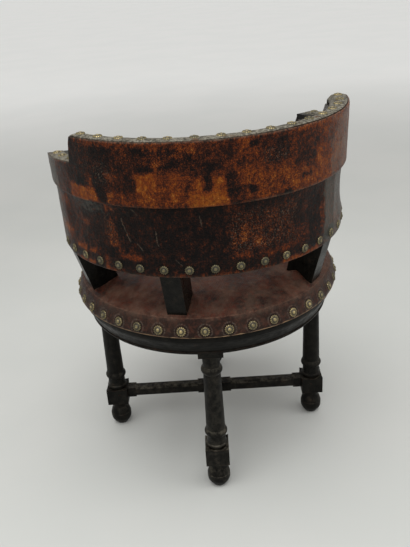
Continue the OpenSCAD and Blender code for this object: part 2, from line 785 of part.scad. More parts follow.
// The air over the right arm, from the crest's leaning end to past the arm's tip, grown by grow
module over_arm(grow) {
    rise = crest_z - arm_z + 2 * overrun;
    run = strip_in_r;
    fall = run * arm_fall / (crest_r * (tip_at - crest_end_at) * PI / (2 * quarter));
    lean = crest_lean * rise / (crest_z - arm_z);
    at_post(crest_end_at) rotate([quarter, 0, quarter]) linear_extrude(crest_r + overrun)
        polygon([[-grow, arm_z - grow], [run, arm_z - fall - grow], [run, arm_z + rise], [-lean - grow, arm_z + rise]]);
}

module over_arms(grow) {
    over_arm(grow);
    left_side() over_arm(grow);
}

// The bow's wood, grown by grow on its inner side and top
module bow_blank(from, to, grow) {
    difference() {
        arc(from, to, [[post_in(bow_z) - grow, bow_z], [upper_at(bow_z) - wood_inset, bow_z],
            [upper_at(bow_top + grow) - wood_inset, bow_top + grow], [post_in(bow_z) - grow, bow_top + grow]]);
        over_arms(wood_inset + fit_gap - grow);
    }
}

module arm_bow_right() {
    color(wood_colour) difference() {
        bow_blank(0, tip_in - end_deg / 2, 0);
        for (at = [back_post_at, arm_post_at]) post_top_tenon(at, fit_gap / 2);
        dowels(fit_gap / 2);
    }
}

module arm_bow_left() { left_side() arm_bow_right(); }

module dowels(grow) {
    for (i = [0:dowel_count - 1]) rotate([0, 0, quarter - dowel_span / 2 + i * dowel_span / (dowel_count - 1)])
        translate([strip_mid_r, 0, bow_top - dowel_len / 2 - grow])
            cylinder(r = dowel_r + grow, h = dowel_len + 2 * grow, $fn = small_fn);
}

module crest_dowels() {
    color(wood_colour) dowels(0);
}

module crest_rail() {
    color(wood_colour) difference() {
        arc(-crest_end_at, crest_end_at, strip_outline(bow_top, crest_top, crest_fall));
        over_arms(wood_inset);
        dowels(fit_gap / 2);
    }
}

// Soft parts of the back

module back_hessian() {
    low_z = rail_z + wood_inset;
    in_r = post_top_in - fit_gap;
    low_r = post_in(low_z) - fit_gap;
    color(hessian_colour) arc(-tip_in, tip_in, [[low_r - hessian_t, low_z], [low_r, low_z], [in_r, bow_z],
        [in_r, hessian_top], [in_r - hessian_t, hessian_top], [in_r - hessian_t, bow_z]]);
}

module back_stuffing() {
    color(stuffing_colour) difference() {
        arc(-tip_in, tip_in, stuffing_outline());
        over_arms(wood_inset);
    }
}

// Everything inside the lining, taken in by inset and widened outwards by out
module inside_solid(inset, out) {
    difference() {
        arc(-tip_in - out, tip_in + out, inside_outline(inset, out));
        over_arms(inset);
    }
}

module back_lining() {
    color(seat_colour) difference() {
        inside_solid(0, 0);
        inside_solid(leather_t, overrun);
    }
}

module lower_band() {
    color(low_band_colour) arc(-tip_in, tip_in, [[lower_at(back_z) - leather_t, back_z], [lower_at(back_z), back_z],
        [lower_at(bow_z), bow_z], [lower_at(bow_z) - leather_t, bow_z]]);
}

module upper_band() {
    top = crest_z - edge_drop;
    color(band_colour) difference() {
        arc(-tip_in, tip_in, [[upper_at(crease_z) - leather_t, crease_z], [upper_at(crease_z), crease_z],
            [upper_at(top), top], [upper_at(top) - leather_t, top]]);
        over_arms(edge_drop);
    }
}

module crest_strip() {
    color(strip_colour) difference() {
        arc(-crest_end_at, crest_end_at, strip_outline(arm_z, crest_z, crest_fall));
        over_arms(0);
        difference() {
            arc(-tip_in, tip_in, [[strip_in_r - overrun, arm_z - overrun], [strip_out_r + overrun, arm_z - overrun],
                [strip_out_r + overrun, crest_z - leather_t], [ridge_r, crest_z - leather_t],
                [strip_in_r - overrun, soft_top - overrun * crest_fall / (ridge_r - strip_in_r)]]);
            over_arms(leather_t);
        }
    }
}

module arm_strip_right() {
    color(strip_colour) difference() {
        intersection() {
            arc(crest_end_at, tip_in, strip_outline(bow_z, arm_z, 0));
            over_arm(leather_t);
        }
        over_arm(0);
    }
}

module arm_strip_left() { left_side() arm_strip_right(); }

module arm_end_right() {
    color(low_band_colour) difference() {
        arc(tip_in, tip_at, concat(inside_face(0), [[upper_at(crest_z), crest_z - leather_t],
            [upper_at(crease_z), crease_z], [lower_at(crease_z), crease_z], [lower_at(back_z), back_z],
            [post_in(back_z), back_z]]));
        over_arm(0);
    }
}

module arm_end_left() { left_side() arm_end_right(); }

// Nails

// A domed nail whose head rests on Z = 0
module nail(d) {
    head_r = d / 2;
    dome = [for (i = [0:nail_steps]) let (a = quarter * i / nail_steps)
        [head_r * cos(a), nail_rim + (nail_dome - nail_rim) * sin(a)]];
    rotate_extrude($fn = small_fn) polygon(concat([[0, 0], [head_r, 0]], dome));
    translate([0, 0, -nail_shank_h]) cylinder(r = nail_shank_r, h = nail_shank_h + nail_rim, $fn = small_fn);
}

// Places a nail on an outward face; tilt is how far that face looks up
module nail_out(at, r, z, tilt, d) {
    at_post(at) translate([r, 0, z]) rotate([0, quarter - tilt, 0]) nail(d);
}

module seat_nails() {
    color(brass_colour) for (i = [0:seat_nail_count - 1])
        nail_out((i + 0.5) * full_turn / seat_nail_count, skirt_at(seat_nail_z, 0), seat_nail_z, skirt_tilt, seat_nail_d);
}

module band_nails() {
    color(brass_colour) for (i = [0:back_nail_count - 1])
        nail_out((i - (back_nail_count - 1) / 2) * back_nail_step, lower_at(back_nail_z), back_nail_z, 0, back_nail_d);
}

module crest_nails() {
    slope = atan(arm_fall / (crest_r * (tip_at - crest_end_at) * PI / (2 * quarter)));
    color(brass_colour) {
        for (i = [0:crest_nail_count - 1])
            at_post(-crest_nail_span / 2 + i * crest_nail_span / (crest_nail_count - 1))
                translate([strip_mid_r, 0, crest_z]) nail(back_nail_d);
        arm_nails(slope);
        left_side() arm_nails(slope);
    }
}

module arm_nails(slope) {
    for (i = [0:arm_nail_count - 1]) {
        past = arm_nail_first + i * arm_nail_step - crest_end_at;
        run = strip_mid_r * sin(past);
        at_post(crest_end_at) translate([strip_mid_r * cos(past), run, arm_z - run * tan(slope)])
            rotate([-slope, 0, 0]) nail(back_nail_d);
    }
}

module lining_nails() {
    z = rail_z + lining_nail_up;
    top = crest_z - leather_t;
    face = support_at(z) - fit_gap - leather_t - stuffing_t * stuffing_shares[1][1];
    color(brass_colour) for (i = [0:back_nail_count - 1])
        at_post((i - (back_nail_count - 1) / 2) * back_nail_step) translate([face, 0, z])
            rotate([0, -quarter, 0]) nail(back_nail_d);
}

module arm_end_nails() {
    color(brass_colour) {
        end_nails();
        left_side() end_nails();
    }
}

module end_nails() {
    low = back_z + end_nail_low;
    high = arm_z - arm_fall - end_nail_low;
    for (i = [0:end_nail_count - 1]) {
        z = lerp(low, high, i / (end_nail_count - 1));
        at_post(tip_at) translate([(post_in(z) + post_out(z)) / 2, 0, z]) rotate([-quarter, 0, 0]) nail(back_nail_d);
    }
}

leg_at(1);  // leg_1
leg_at(2);  // leg_2
leg_at(3);  // leg_3
leg_at(4);  // leg_4
stretcher_over();
stretcher_under();
stretcher_pegs();
base_ring_arc(1);  // base_ring_arc_1
base_ring_arc(2);  // base_ring_arc_2
base_ring_arc(3);  // base_ring_arc_3
base_ring_arc(4);  // base_ring_arc_4
base_rail_over();
base_rail_under();
base_rail_screws();
friction_ring();
pivot_socket();
socket_screws();
thrust_washer();
pivot_spindle();
spindle_screws();
retaining_washer();
retaining_nut();
seat_bearer_over();
seat_bearer_under();
seat_ring_arc(1);  // seat_ring_arc_1
seat_ring_arc(2);  // seat_ring_arc_2
seat_ring_arc(3);  // seat_ring_arc_3
seat_ring_arc(4);  // seat_ring_arc_4
seat_webbing();
seat_hessian();
seat_stuffing();
seat_leather();
seat_nails();
arm_post_left();
back_post_left();
back_post_right();
arm_post_right();
bottom_rail_left();
bottom_rail_middle();
bottom_rail_right();
arm_front_block_left();
arm_front_block_right();
arm_bow_left();
arm_bow_right();
crest_rail();
crest_dowels();
back_hessian();
back_stuffing();
back_lining();
lower_band();
upper_band();
crest_strip();
arm_strip_left();
arm_strip_right();
arm_end_left();
arm_end_right();
band_nails();
crest_nails();
lining_nails();
arm_end_nails();
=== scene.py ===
import bpy
import bmesh
import math
from mathutils import Matrix, Vector, noise


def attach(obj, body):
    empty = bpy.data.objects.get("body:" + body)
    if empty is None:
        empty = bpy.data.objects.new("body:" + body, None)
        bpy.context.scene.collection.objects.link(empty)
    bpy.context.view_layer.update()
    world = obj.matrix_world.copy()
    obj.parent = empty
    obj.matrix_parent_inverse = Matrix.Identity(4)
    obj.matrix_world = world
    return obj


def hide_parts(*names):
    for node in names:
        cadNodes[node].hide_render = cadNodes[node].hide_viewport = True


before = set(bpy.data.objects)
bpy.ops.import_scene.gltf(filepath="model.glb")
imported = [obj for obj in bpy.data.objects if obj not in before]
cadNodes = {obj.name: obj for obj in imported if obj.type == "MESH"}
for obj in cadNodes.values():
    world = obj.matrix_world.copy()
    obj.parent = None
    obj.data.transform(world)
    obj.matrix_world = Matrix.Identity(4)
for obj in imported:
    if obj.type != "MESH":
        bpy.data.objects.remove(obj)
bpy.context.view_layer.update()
scene = bpy.context.scene
world = bpy.data.worlds.new("studio")
scene.world = world
scene.view_settings.view_transform = "Standard"

# The chair's own measures, in metres. Angles are in degrees from the middle of the back, + to the sitter's right.
chair = dict(
    seatTop=0.460, skirtFoot=0.410, backFoot=0.549, crease=0.689, bowFoot=0.693, armTop=0.757, crestTop=0.808,
    footRadius=0.308, creaseRadius=0.310, bandRadius=0.316, crestRadius=0.3195, unrollRadius=0.312, arc=0.0055,
    postFoot=0.4475, postIn=0.2155, bowIn=0.2700, stripIn=0.2815, backPost=34.2, armPost=86.6, postHalf=3.75,
    tipAngle=99.0, crestEnd=70.5, crestLean=2.5, armFall=0.088)

# The rows of nails: how many, how far apart, where, how large, and how dull on average
nails = dict(
    seat=dict(count=39, apart=360 / 39, radius=0.29575, height=0.4255, size=0.0198, dull=0.45, lean=math.atan(0.34)),
    band=dict(count=21, apart=8.95, height=0.5640, size=0.0178, dull=0.65),
    crest=dict(count=16, apart=8.8, first=-66, radius=0.29915, size=0.0176, dull=0.45),
    arm=dict(count=3, apart=8.8, first=75),
    lining=dict(count=21, apart=8.95, height=0.563, size=0.0176, dull=0.6, stuffed=0.14),
    end=dict(count=5, angle=98.9, low=0.573, high=0.719, size=0.0176, dull=0.6))


def around(angle, radius, height):
    a = math.radians(angle)
    return Vector((-radius * math.sin(a), radius * math.cos(a), height))


def polar(co):  # the angle, radius and height of a place
    return math.degrees(math.atan2(-co.x, co.y)), math.hypot(co.x, co.y), co.z


def mix(a, b, t):
    return a + (b - a) * t


def ease(a, b, x):  # 0 before a, 1 past b, smooth between them
    t = max(0.0, min(1.0, (x - a) / (b - a)))
    return t * t * (3 - 2 * t)


def along(points, x):  # read a value off a list of (x, value) pairs
    if x <= points[0][0]:
        return points[0][1]
    for (x0, v0), (x1, v1) in zip(points, points[1:]):
        if x <= x1:
            return mix(v0, v1, (x - x0) / (x1 - x0))
    return points[-1][1]


def wobble(point, size, seed=0.0):  # smooth noise from -1 to 1 with features of that size
    return noise.noise(Vector((point[0] / size + seed, point[1] / size - seed, point[2] / size + 2 * seed)))


def flatPlace(angle, z):  # a place on the back as if it were laid flat, in metres
    return angle * chair["arc"], z, 0


def topHeight(angle, radius=0.3):  # the crest, its leaning ends, then the falling arms
    a = abs(angle)
    start = chair["crestEnd"] - chair["crestLean"]
    if a <= start:
        return chair["crestTop"]
    if a <= chair["crestEnd"]:
        return mix(chair["crestTop"], chair["armTop"], ((a - start) / chair["crestLean"]) ** 1.3)
    return chair["armTop"] - chair["armFall"] * radius * math.sin(math.radians(a - chair["crestEnd"]))


def between(low, high, z):  # how far up z is from one level to the other
    return (z - low) / (high - low)


def lowerRadius(z):
    return mix(chair["footRadius"], chair["creaseRadius"], between(chair["backFoot"], chair["crease"], z))


def upperRadius(z):
    return mix(chair["bandRadius"], chair["crestRadius"], between(chair["crease"], chair["crestTop"], z))


def spun(profile, start, end, steps):  # profile is (radius, height) pairs
    bm = bmesh.new()
    verts = [bm.verts.new(around(start, r, z)) for r, z in profile]
    edges = [bm.edges.new(pair) for pair in zip(verts, verts[1:])]
    bmesh.ops.spin(bm, geom=verts + edges, cent=(0, 0, 0), axis=(0, 0, 1), angle=math.radians(end - start),
                   steps=steps, use_merge=end - start > 359, use_duplicate=False)
    return bm


def reshape(bm, rule):  # rule takes an angle, a radius and a height, and gives new ones
    for v in bm.verts:
        v.co = around(*rule(*polar(v.co)))


def faceOut(bm, outward):  # outward gives, for a place on the piece, the way its faces should look
    bmesh.ops.recalc_face_normals(bm, faces=bm.faces)
    if sum(f.normal.dot(outward(f.calc_center_median())) * f.calc_area() for f in bm.faces) < 0:
        bmesh.ops.reverse_faces(bm, faces=bm.faces)


def fromAxis(co):
    return Vector((co.x, co.y, 0))


def meshOf(name, bm):
    mesh = bpy.data.meshes.new(name)
    bm.to_mesh(mesh)
    bm.free()
    return mesh


def placed(name, data):  # a new object in the scene
    made = bpy.data.objects.new(name, data)
    scene.collection.objects.link(made)
    return made


def addPiece(name, bm, material, replaced):
    return finishPiece(name, meshOf(name, bm), material, replaced)


def finishPiece(name, mesh, material, replaced):  # each piece made here turns with the seat
    mesh.shade_smooth()
    mesh.materials.clear()
    mesh.materials.append(material)
    piece = placed(name, mesh)
    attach(piece, "seat")
    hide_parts(*replaced)
    return piece


def finishWith(piece, kind, **settings):
    modifier = piece.modifiers.new(kind.title(), kind)
    for key, value in settings.items():
        setattr(modifier, key, value)
    return modifier


def unroll(mesh):  # a UV map in metres: along the back, and up
    layer = mesh.uv_layers.new(name="unrolled")
    for loop in mesh.loops:
        co = mesh.vertices[loop.vertex_index].co
        layer.data[loop.index].uv = (math.atan2(-co.x, co.y) * chair["unrollRadius"], co.z)


def paint(mesh, name, rule):  # a colour attribute; rule takes a point and gives three masks
    layer = mesh.color_attributes.new(name=name, type="FLOAT_COLOR", domain="POINT")
    for i, v in enumerate(mesh.vertices):
        layer.data[i].color = (*rule(v.co), 1.0)


# Soft, uneven patches over a ground value. Each has two angles, two heights, a value and a softness in degrees.
def brushed(ground, spots, co):
    angle = polar(co)[0] + 0.9 * wobble(co, 0.020, 11.0) + 0.55 * wobble(co, 0.007, 12.0)
    z = co.z + 0.0045 * wobble(co, 0.020, 13.0) + 0.0027 * wobble(co, 0.007, 14.0)
    value = ground
    for a0, a1, z0, z1, goal, soft in spots:
        if a0 - soft < angle < a1 + soft:
            rise = soft * chair["arc"]
            sideways = min(ease(a0 - soft, a0 + soft, angle), 1 - ease(a1 - soft, a1 + soft, angle))
            upward = min(ease(z0 - rise, z0 + rise, z), 1 - ease(z1 - rise, z1 + rise, z))
            value = mix(value, goal, sideways * upward)
    return value


# Node helpers. A value that is a socket is linked, and anything else is typed into the input.
def feed(tree, value, socket):
    if isinstance(value, bpy.types.NodeSocket):
        tree.links.new(value, socket)
    elif value is not None:
        socket.default_value = value


def addNode(tree, kind, inputs=None, **settings):
    made = tree.nodes.new("ShaderNode" + kind)
    for key, value in settings.items():
        setattr(made, key, value)
    for key, value in (inputs or {}).items():
        feed(tree, value, made.inputs[key])
    return made


def calc(tree, operation, a, b=None, c=None, clamp=False):
    return addNode(tree, "Math", {0: a, 1: b, 2: c}, operation=operation, use_clamp=clamp).outputs[0]


def times(tree, a, b, clamp=False):
    return calc(tree, "MULTIPLY", a, b, clamp=clamp)


def vectorCalc(tree, operation, a, b=None, c=None):  # gives a vector, or a number where the operation does
    made = addNode(tree, "VectorMath", {0: a, 1: b, 2: c}, operation=operation).outputs
    return made["Value"] if operation in ("DOT_PRODUCT", "DISTANCE", "LENGTH") else made["Vector"]


def step(tree, value, low, high, fromValue=0.0, toValue=1.0):
    return addNode(tree, "MapRange", {0: value, 1: low, 2: high, 3: fromValue, 4: toValue},
                   interpolation_type="SMOOTHSTEP").outputs[0]


def blend(tree, factor, a, b):
    return addNode(tree, "Mix", {0: factor, 6: a, 7: b}, data_type="RGBA").outputs[2]


def over(tree, base, code, mask, strength):  # lay a screen colour over the base where the mask is
    return blend(tree, times(tree, mask, strength), base, tone(code))


def bump(tree, shader, height, strength, distance, normal=None):
    inputs = {"Strength": strength, "Distance": distance, "Height": height, "Normal": normal}
    feed(tree, addNode(tree, "Bump", inputs).outputs[0], shader["Normal"])


def painted(tree, name):  # the three masks of a colour attribute
    layer = addNode(tree, "Attribute", attribute_name=name).outputs["Color"]
    return addNode(tree, "SeparateColor", {0: layer}).outputs


def radiusOf(tree, parts):  # how far a place is from the upright axis
    square = times(tree, parts[1], parts[1])
    return calc(tree, "SQRT", calc(tree, "MULTIPLY_ADD", parts[0], parts[0], square))


def rampOf(tree, value, stops):  # a colour ramp; stops are (place, screen colour)
    made = addNode(tree, "ValToRGB", {0: value})
    points = made.color_ramp.elements
    while len(points) < len(stops):
        points.new(0.5)
    for point, (place, code) in zip(points, stops):
        point.position = place
        point.color = tone(code)
    return made.outputs[0]


def noiseAt(tree, coords, scale, detail=3.0, rough=0.55):
    inputs = {"Vector": coords, "Scale": scale, "Detail": detail, "Roughness": rough}
    return addNode(tree, "TexNoise", inputs).outputs[0]


def stretched(tree, coords, scale, turn=(0, 0, 0)):
    return addNode(tree, "Mapping", {"Vector": coords, "Scale": scale, "Rotation": turn}).outputs[0]


def tone(code):  # a screen colour, made linear
    parts = [int(code[i:i + 2], 16) / 255 for i in (0, 2, 4)]
    return tuple(p / 12.92 if p <= 0.04045 else ((p + 0.055) / 1.055) ** 2.4 for p in parts) + (1.0,)


def newGroup(name, inputs, outputs):  # inputs are name: default, outputs are names of plain values
    tree = bpy.data.node_groups.new(name, "ShaderNodeTree")
    for key, value in inputs.items():
        kind = "NodeSocketVector" if value is None else "NodeSocketFloat"
        socket = tree.interface.new_socket(name=key, in_out="INPUT", socket_type=kind)
        if value is not None:
            socket.default_value = value
    for key in outputs:
        tree.interface.new_socket(name=key, in_out="OUTPUT", socket_type="NodeSocketFloat")
    return tree, tree.nodes.new("NodeGroupInput").outputs, tree.nodes.new("NodeGroupOutput").inputs


def useGroup(tree, group, inputs):
    made = tree.nodes.new("ShaderNodeGroup")
    made.node_tree = group
    for key, value in inputs.items():
        feed(tree, value, made.inputs[key])
    return made.outputs


def newMaterial(name, roughness=0.5, **shaderInputs):
    material = bpy.data.materials.new(name)
    material.use_nodes = True
    tree = material.node_tree
    shader = tree.nodes["Principled BSDF"]
    shader.inputs["Roughness"].default_value = roughness
    for key, value in shaderInputs.items():
        shader.inputs[key.replace("_", " ")].default_value = value
    coords = tree.nodes.new("ShaderNodeTexCoord").outputs
    return material, tree, shader.inputs, coords


# Shared effects
dustGroup, gi, go = newGroup("dust that settles", {"Coordinates": None, "Size": 60.0, "Amount": 0.5, "On sides": 0.15},
                             ["Dust"])
up = addNode(dustGroup, "SeparateXYZ", {0: addNode(dustGroup, "NewGeometry").outputs["Normal"]}).outputs[2]
lying = step(dustGroup, up, 0.1, 0.9)
cloud = noiseAt(dustGroup, gi["Coordinates"], gi["Size"], 6, 0.7)
speck = noiseAt(dustGroup, gi["Coordinates"], 900, 2, 0.6)
level = times(dustGroup, gi["Amount"], calc(dustGroup, "ADD", lying, gi["On sides"]))
grainy = calc(dustGroup, "ADD", times(dustGroup, step(dustGroup, cloud, 0.38, 0.68), 0.75),
              times(dustGroup, step(dustGroup, speck, 0.56, 0.70), 0.5))
feed(dustGroup, times(dustGroup, grainy, level, clamp=True), go["Dust"])

edgeGroup, gi, go = newGroup("rubbed edges", {"Coordinates": None, "Radius": 0.002, "Size": 90.0}, ["Wear"])
rounded = addNode(edgeGroup, "Bevel", {"Radius": gi["Radius"]}, samples=6).outputs[0]
meeting = vectorCalc(edgeGroup, "DOT_PRODUCT", rounded, addNode(edgeGroup, "NewGeometry").outputs["Normal"])
rubbed = calc(edgeGroup, "SUBTRACT", 1.0, step(edgeGroup, meeting, 0.80, 0.995))
patchy = step(edgeGroup, noiseAt(edgeGroup, gi["Coordinates"], gi["Size"], 5, 0.65), 0.40, 0.62)
feed(edgeGroup, times(edgeGroup, rubbed, patchy, clamp=True), go["Wear"])

raggedGroup, gi, go = newGroup("ragged patch", {"Coordinates": None, "Patch": 0.0, "Size": 250.0, "Spread": 0.8},
                               ["Mask"])
torn = calc(raggedGroup, "SUBTRACT", noiseAt(raggedGroup, gi["Coordinates"], gi["Size"], 5, 0.72), 0.5)
pushed = calc(raggedGroup, "MULTIPLY_ADD", torn, gi["Spread"], gi["Patch"])
feed(raggedGroup, step(raggedGroup, pushed, 0.38, 0.60), go["Mask"])

hideGroup, gi, go = newGroup("leather grain", {"Coordinates": None, "Pores": 700.0, "Cracks": 130.0},
                             ["Height", "Cracks"])
pores = addNode(hideGroup, "TexVoronoi", {"Vector": gi["Coordinates"], "Scale": gi["Pores"]}).outputs["Distance"]
loose = addNode(hideGroup, "TexNoise", {"Vector": gi["Coordinates"], "Scale": 300.0, "Detail": 3.0}).outputs["Color"]
loose = vectorCalc(hideGroup, "MULTIPLY", loose, (0.006, 0.006, 0.006))
bent = vectorCalc(hideGroup, "ADD", gi["Coordinates"], loose)
cells = addNode(hideGroup, "TexVoronoi", {"Vector": bent, "Scale": gi["Cracks"]}, feature="DISTANCE_TO_EDGE")
cracks = calc(hideGroup, "SUBTRACT", 1.0, step(hideGroup, cells.outputs["Distance"], 0.0, 0.09))
feed(hideGroup, cracks, go["Cracks"])
pitted = calc(hideGroup, "MULTIPLY_ADD", cracks, -0.8, times(hideGroup, pores, 0.5))
swells = noiseAt(hideGroup, gi["Coordinates"], 90, 4)
feed(hideGroup, calc(hideGroup, "MULTIPLY_ADD", swells, 0.9, pitted), go["Height"])

lineGroup, gi, go = newGroup("thin scratch", {"Coordinates": None, "From": None, "To": None, "Width": 0.001}, ["Line"])
run = vectorCalc(lineGroup, "SUBTRACT", gi["To"], gi["From"])
offset = vectorCalc(lineGroup, "SUBTRACT", gi["Coordinates"], gi["From"])
ahead = vectorCalc(lineGroup, "DOT_PRODUCT", offset, run)
whole = vectorCalc(lineGroup, "DOT_PRODUCT", run, run)
foot = addNode(lineGroup, "VectorMath", {0: run, "Scale": calc(lineGroup, "DIVIDE", ahead, whole, clamp=True)},
               operation="SCALE").outputs[0]
gap = vectorCalc(lineGroup, "DISTANCE", offset, foot)
feed(lineGroup, step(lineGroup, gap, gi["Width"], times(lineGroup, gi["Width"], 0.3)), go["Line"])

# How far each point is from the nearest nail of a row that goes round the chair
rowGroup, gi, go = newGroup("distance to nail row", {"Coordinates": None, "Spacing": 9.0, "Shift": 0.0, "Radius": 0.3,
                                                    "Height": 0.43}, ["Distance"])
parts = addNode(rowGroup, "SeparateXYZ", {0: gi["Coordinates"]}).outputs
turned = calc(rowGroup, "DEGREES", calc(rowGroup, "ARCTAN2", times(rowGroup, parts[0], -1.0), parts[1]))
share = calc(rowGroup, "DIVIDE", calc(rowGroup, "ADD", turned, gi["Shift"]), gi["Spacing"])
nearest = calc(rowGroup, "SUBTRACT", share, calc(rowGroup, "ROUND", share))
sideways = times(rowGroup, calc(rowGroup, "RADIANS", times(rowGroup, nearest, gi["Spacing"])), gi["Radius"])
upwards = calc(rowGroup, "SUBTRACT", parts[2], gi["Height"])
squares = calc(rowGroup, "MULTIPLY_ADD", sideways, sideways, times(rowGroup, upwards, upwards))
feed(rowGroup, calc(rowGroup, "SQRT", squares), go["Distance"])
print("helpers and shared effects ready")

# Black stained wood of the legs, bars, ring and posts
blackWood = dict(deep="070706", lifted="14120f", rubbed="3c2416", dust="6b665a", specular=0.09)


def blackWoodMaterial(name, grainScale, grainTurn=(0, 0, 0), dust=0.5, roughLow=0.30, roughHigh=0.55):
    material, tree, shader, coords = newMaterial(name, Specular_IOR_Level=blackWood["specular"])
    place = coords["Object"]
    grain = noiseAt(tree, stretched(tree, place, grainScale, grainTurn), 1.0, 6, 0.7)
    stain = noiseAt(tree, place, 35, 5, 0.65)
    base = blend(tree, step(tree, grain, 0.35, 0.70), tone(blackWood["deep"]), tone(blackWood["lifted"]))
    base = blend(tree, step(tree, stain, 0.58, 0.80), base, tone("2a1d15"))
    wear = useGroup(tree, edgeGroup, {"Coordinates": place, "Radius": 0.0022, "Size": 110.0})["Wear"]
    base = over(tree, base, blackWood["rubbed"], wear, 0.75)
    chips = step(tree, noiseAt(tree, place, 420, 3, 0.7), 0.66, 0.73)
    base = over(tree, base, "5f594d", chips, 0.30)
    dusty = useGroup(tree, dustGroup, {"Coordinates": place, "Size": 70.0, "Amount": dust, "On sides": 0.22})["Dust"]
    feed(tree, over(tree, base, blackWood["dust"], dusty, 0.8), shader["Base Color"])
    gloss = step(tree, noiseAt(tree, place, 60, 4, 0.6), 0.3, 0.7, roughLow, roughHigh)
    feed(tree, calc(tree, "MULTIPLY_ADD", dusty, 0.35, gloss, clamp=True), shader["Roughness"])
    height = calc(tree, "MULTIPLY_ADD", grain, 0.5, times(tree, noiseAt(tree, place, 240, 4), 0.4))
    softened = addNode(tree, "Bevel", {"Radius": 0.0012}, samples=6).outputs[0]
    bump(tree, shader, height, 0.35, 0.0012, softened)
    return material


barTurn = math.radians(21.8)
uprightWood = blackWoodMaterial("black wood, upright grain", (90, 90, 9), dust=0.40)
dustyWood = blackWoodMaterial("black wood, dusty front leg", (90, 90, 9), dust=0.95)
postWood = blackWoodMaterial("black wood, posts", (90, 90, 9), dust=0.25, roughLow=0.22, roughHigh=0.36)
barWoodOver = blackWoodMaterial("black wood, long bar", (9, 90, 90), (0, 0, barTurn), dust=0.75)
barWoodUnder = blackWoodMaterial("black wood, cross bar", (90, 9, 90), (0, 0, barTurn), dust=0.75)
ringWood = blackWoodMaterial("black wood, moulded ring", (40, 40, 90), dust=0.20)

# Bare wood, iron and brass that the upholstery and the seat hide
bareWood, tree, shader, coords = newMaterial("bare oak", 0.62)
grain = noiseAt(tree, stretched(tree, coords["Object"], (25, 25, 160)), 1.0, 6, 0.65)
worked = blend(tree, step(tree, grain, 0.3, 0.7), tone("5f4730"), tone("8d7150"))
inputs = {"Coordinates": coords["Object"], "Size": 45.0, "Amount": 0.5, "On sides": 0.3}
dusty = useGroup(tree, dustGroup, inputs)["Dust"]
feed(tree, blend(tree, dusty, worked, tone("6e6455")), shader["Base Color"])
bump(tree, shader, grain, 0.3, 0.001)

darkIron, tree, shader, coords = newMaterial("dark iron", 0.5, Metallic=1.0)
inputs = {"Coordinates": coords["Object"], "Patch": 0.42, "Size": 160.0, "Spread": 1.0}
rust = useGroup(tree, raggedGroup, inputs)["Mask"]
feed(tree, blend(tree, rust, tone("55524f"), tone("5a3a28")), shader["Base Color"])
feed(tree, step(tree, rust, 0, 1, 0.38, 0.8), shader["Roughness"])
bump(tree, shader, noiseAt(tree, coords["Object"], 400), 0.3, 0.0006)

plainBrass, tree, shader, coords = newMaterial("worn brass", 0.35, Metallic=1.0)
tarnishAndPaintedSheen = step(tree, noiseAt(tree, coords["Object"], 120, 5, 0.65), 0.4, 0.65)
feed(tree, blend(tree, tarnishAndPaintedSheen, tone("b39a5c"), tone("6b6142")), shader["Base Color"])
feed(tree, step(tree, tarnishAndPaintedSheen, 0, 1, 0.28, 0.55), shader["Roughness"])

finishes = {
    "leg_1": uprightWood, "leg_2": dustyWood, "leg_3": uprightWood, "leg_4": uprightWood,
    "stretcher_over": barWoodOver, "stretcher_under": barWoodUnder, "stretcher_pegs": uprightWood,
    "base_ring_arc": ringWood, "friction_ring": ringWood, "arm_post": postWood, "back_post": postWood,
    "base_rail_over": bareWood, "base_rail_under": bareWood, "seat_bearer": bareWood, "seat_ring_arc": bareWood,
    "bottom_rail": bareWood, "arm_front_block": bareWood, "arm_bow": uprightWood, "crest_rail": uprightWood,
    "crest_dowels": bareWood, "base_rail_screws": darkIron, "pivot_socket": darkIron, "socket_screws": darkIron,
    "pivot_spindle": darkIron, "spindle_screws": darkIron, "retaining_": darkIron, "thrust_washer": plainBrass}
for name, piece in cadNodes.items():
    for start, material in finishes.items():
        if name.startswith(start):
            for materialSlot in piece.material_slots:
                materialSlot.material = material
print("wood, iron and brass finished")

# Seat leather: red-brown, darker on the skirt, rubbed pale along the rim, dusty on top
seatLook = dict(top="4e2f23", deep="26140e", skirt="22130d", red="57281b", rim="6f5041", dust="8d7260")
seatLeather, tree, shader, coords = newMaterial("seat leather", 0.5, Specular_IOR_Level=0.14)
place = coords["Object"]
parts = addNode(tree, "SeparateXYZ", {0: place}).outputs
radius = radiusOf(tree, parts)
broad = noiseAt(tree, place, 16, 5, 0.6)
mottle = noiseAt(tree, place, 110, 6, 0.7)
base = blend(tree, step(tree, broad, 0.40, 0.58), tone(seatLook["deep"]), tone(seatLook["top"]))
base = over(tree, base, seatLook["red"], step(tree, mottle, 0.48, 0.62), 0.75)
onSkirt = step(tree, radius, 0.280, 0.288)
side = blend(tree, step(tree, mottle, 0.44, 0.64), tone(seatLook["skirt"]), tone("43261c"))
base = blend(tree, onSkirt, base, side)
grain = useGroup(tree, hideGroup, {"Coordinates": place, "Pores": 900.0, "Cracks": 190.0})
alongRim = times(tree, step(tree, radius, 0.2800, 0.2840), step(tree, radius, 0.2880, 0.2850))
inputs = {"Coordinates": place, "Patch": times(tree, alongRim, 0.50), "Size": 160.0, "Spread": 0.75}
worn = useGroup(tree, raggedGroup, inputs)["Mask"]
base = over(tree, base, seatLook["rim"], worn, 0.55)
base = over(tree, base, "150d0a", grain["Cracks"], 0.45)
row = nails["seat"]
inputs = {"Coordinates": place, "Spacing": row["apart"], "Shift": row["apart"] / 2, "Radius": row["radius"],
          "Height": row["height"]}
fromNail = useGroup(tree, rowGroup, inputs)["Distance"]
halo = times(tree, step(tree, fromNail, 0.0115, 0.0135), step(tree, fromNail, 0.0165, 0.0140))
halo = times(tree, halo, step(tree, noiseAt(tree, place, 420, 3), 0.42, 0.60))
base = over(tree, base, "80766a", halo, 0.30)
# darker in a narrow ring right around the edge of each nail head
darkRingAtNail = times(tree, step(tree, fromNail, 0.0130, 0.0100), 0.7)
base = blend(tree, darkRingAtNail, base, tone("120c09"))
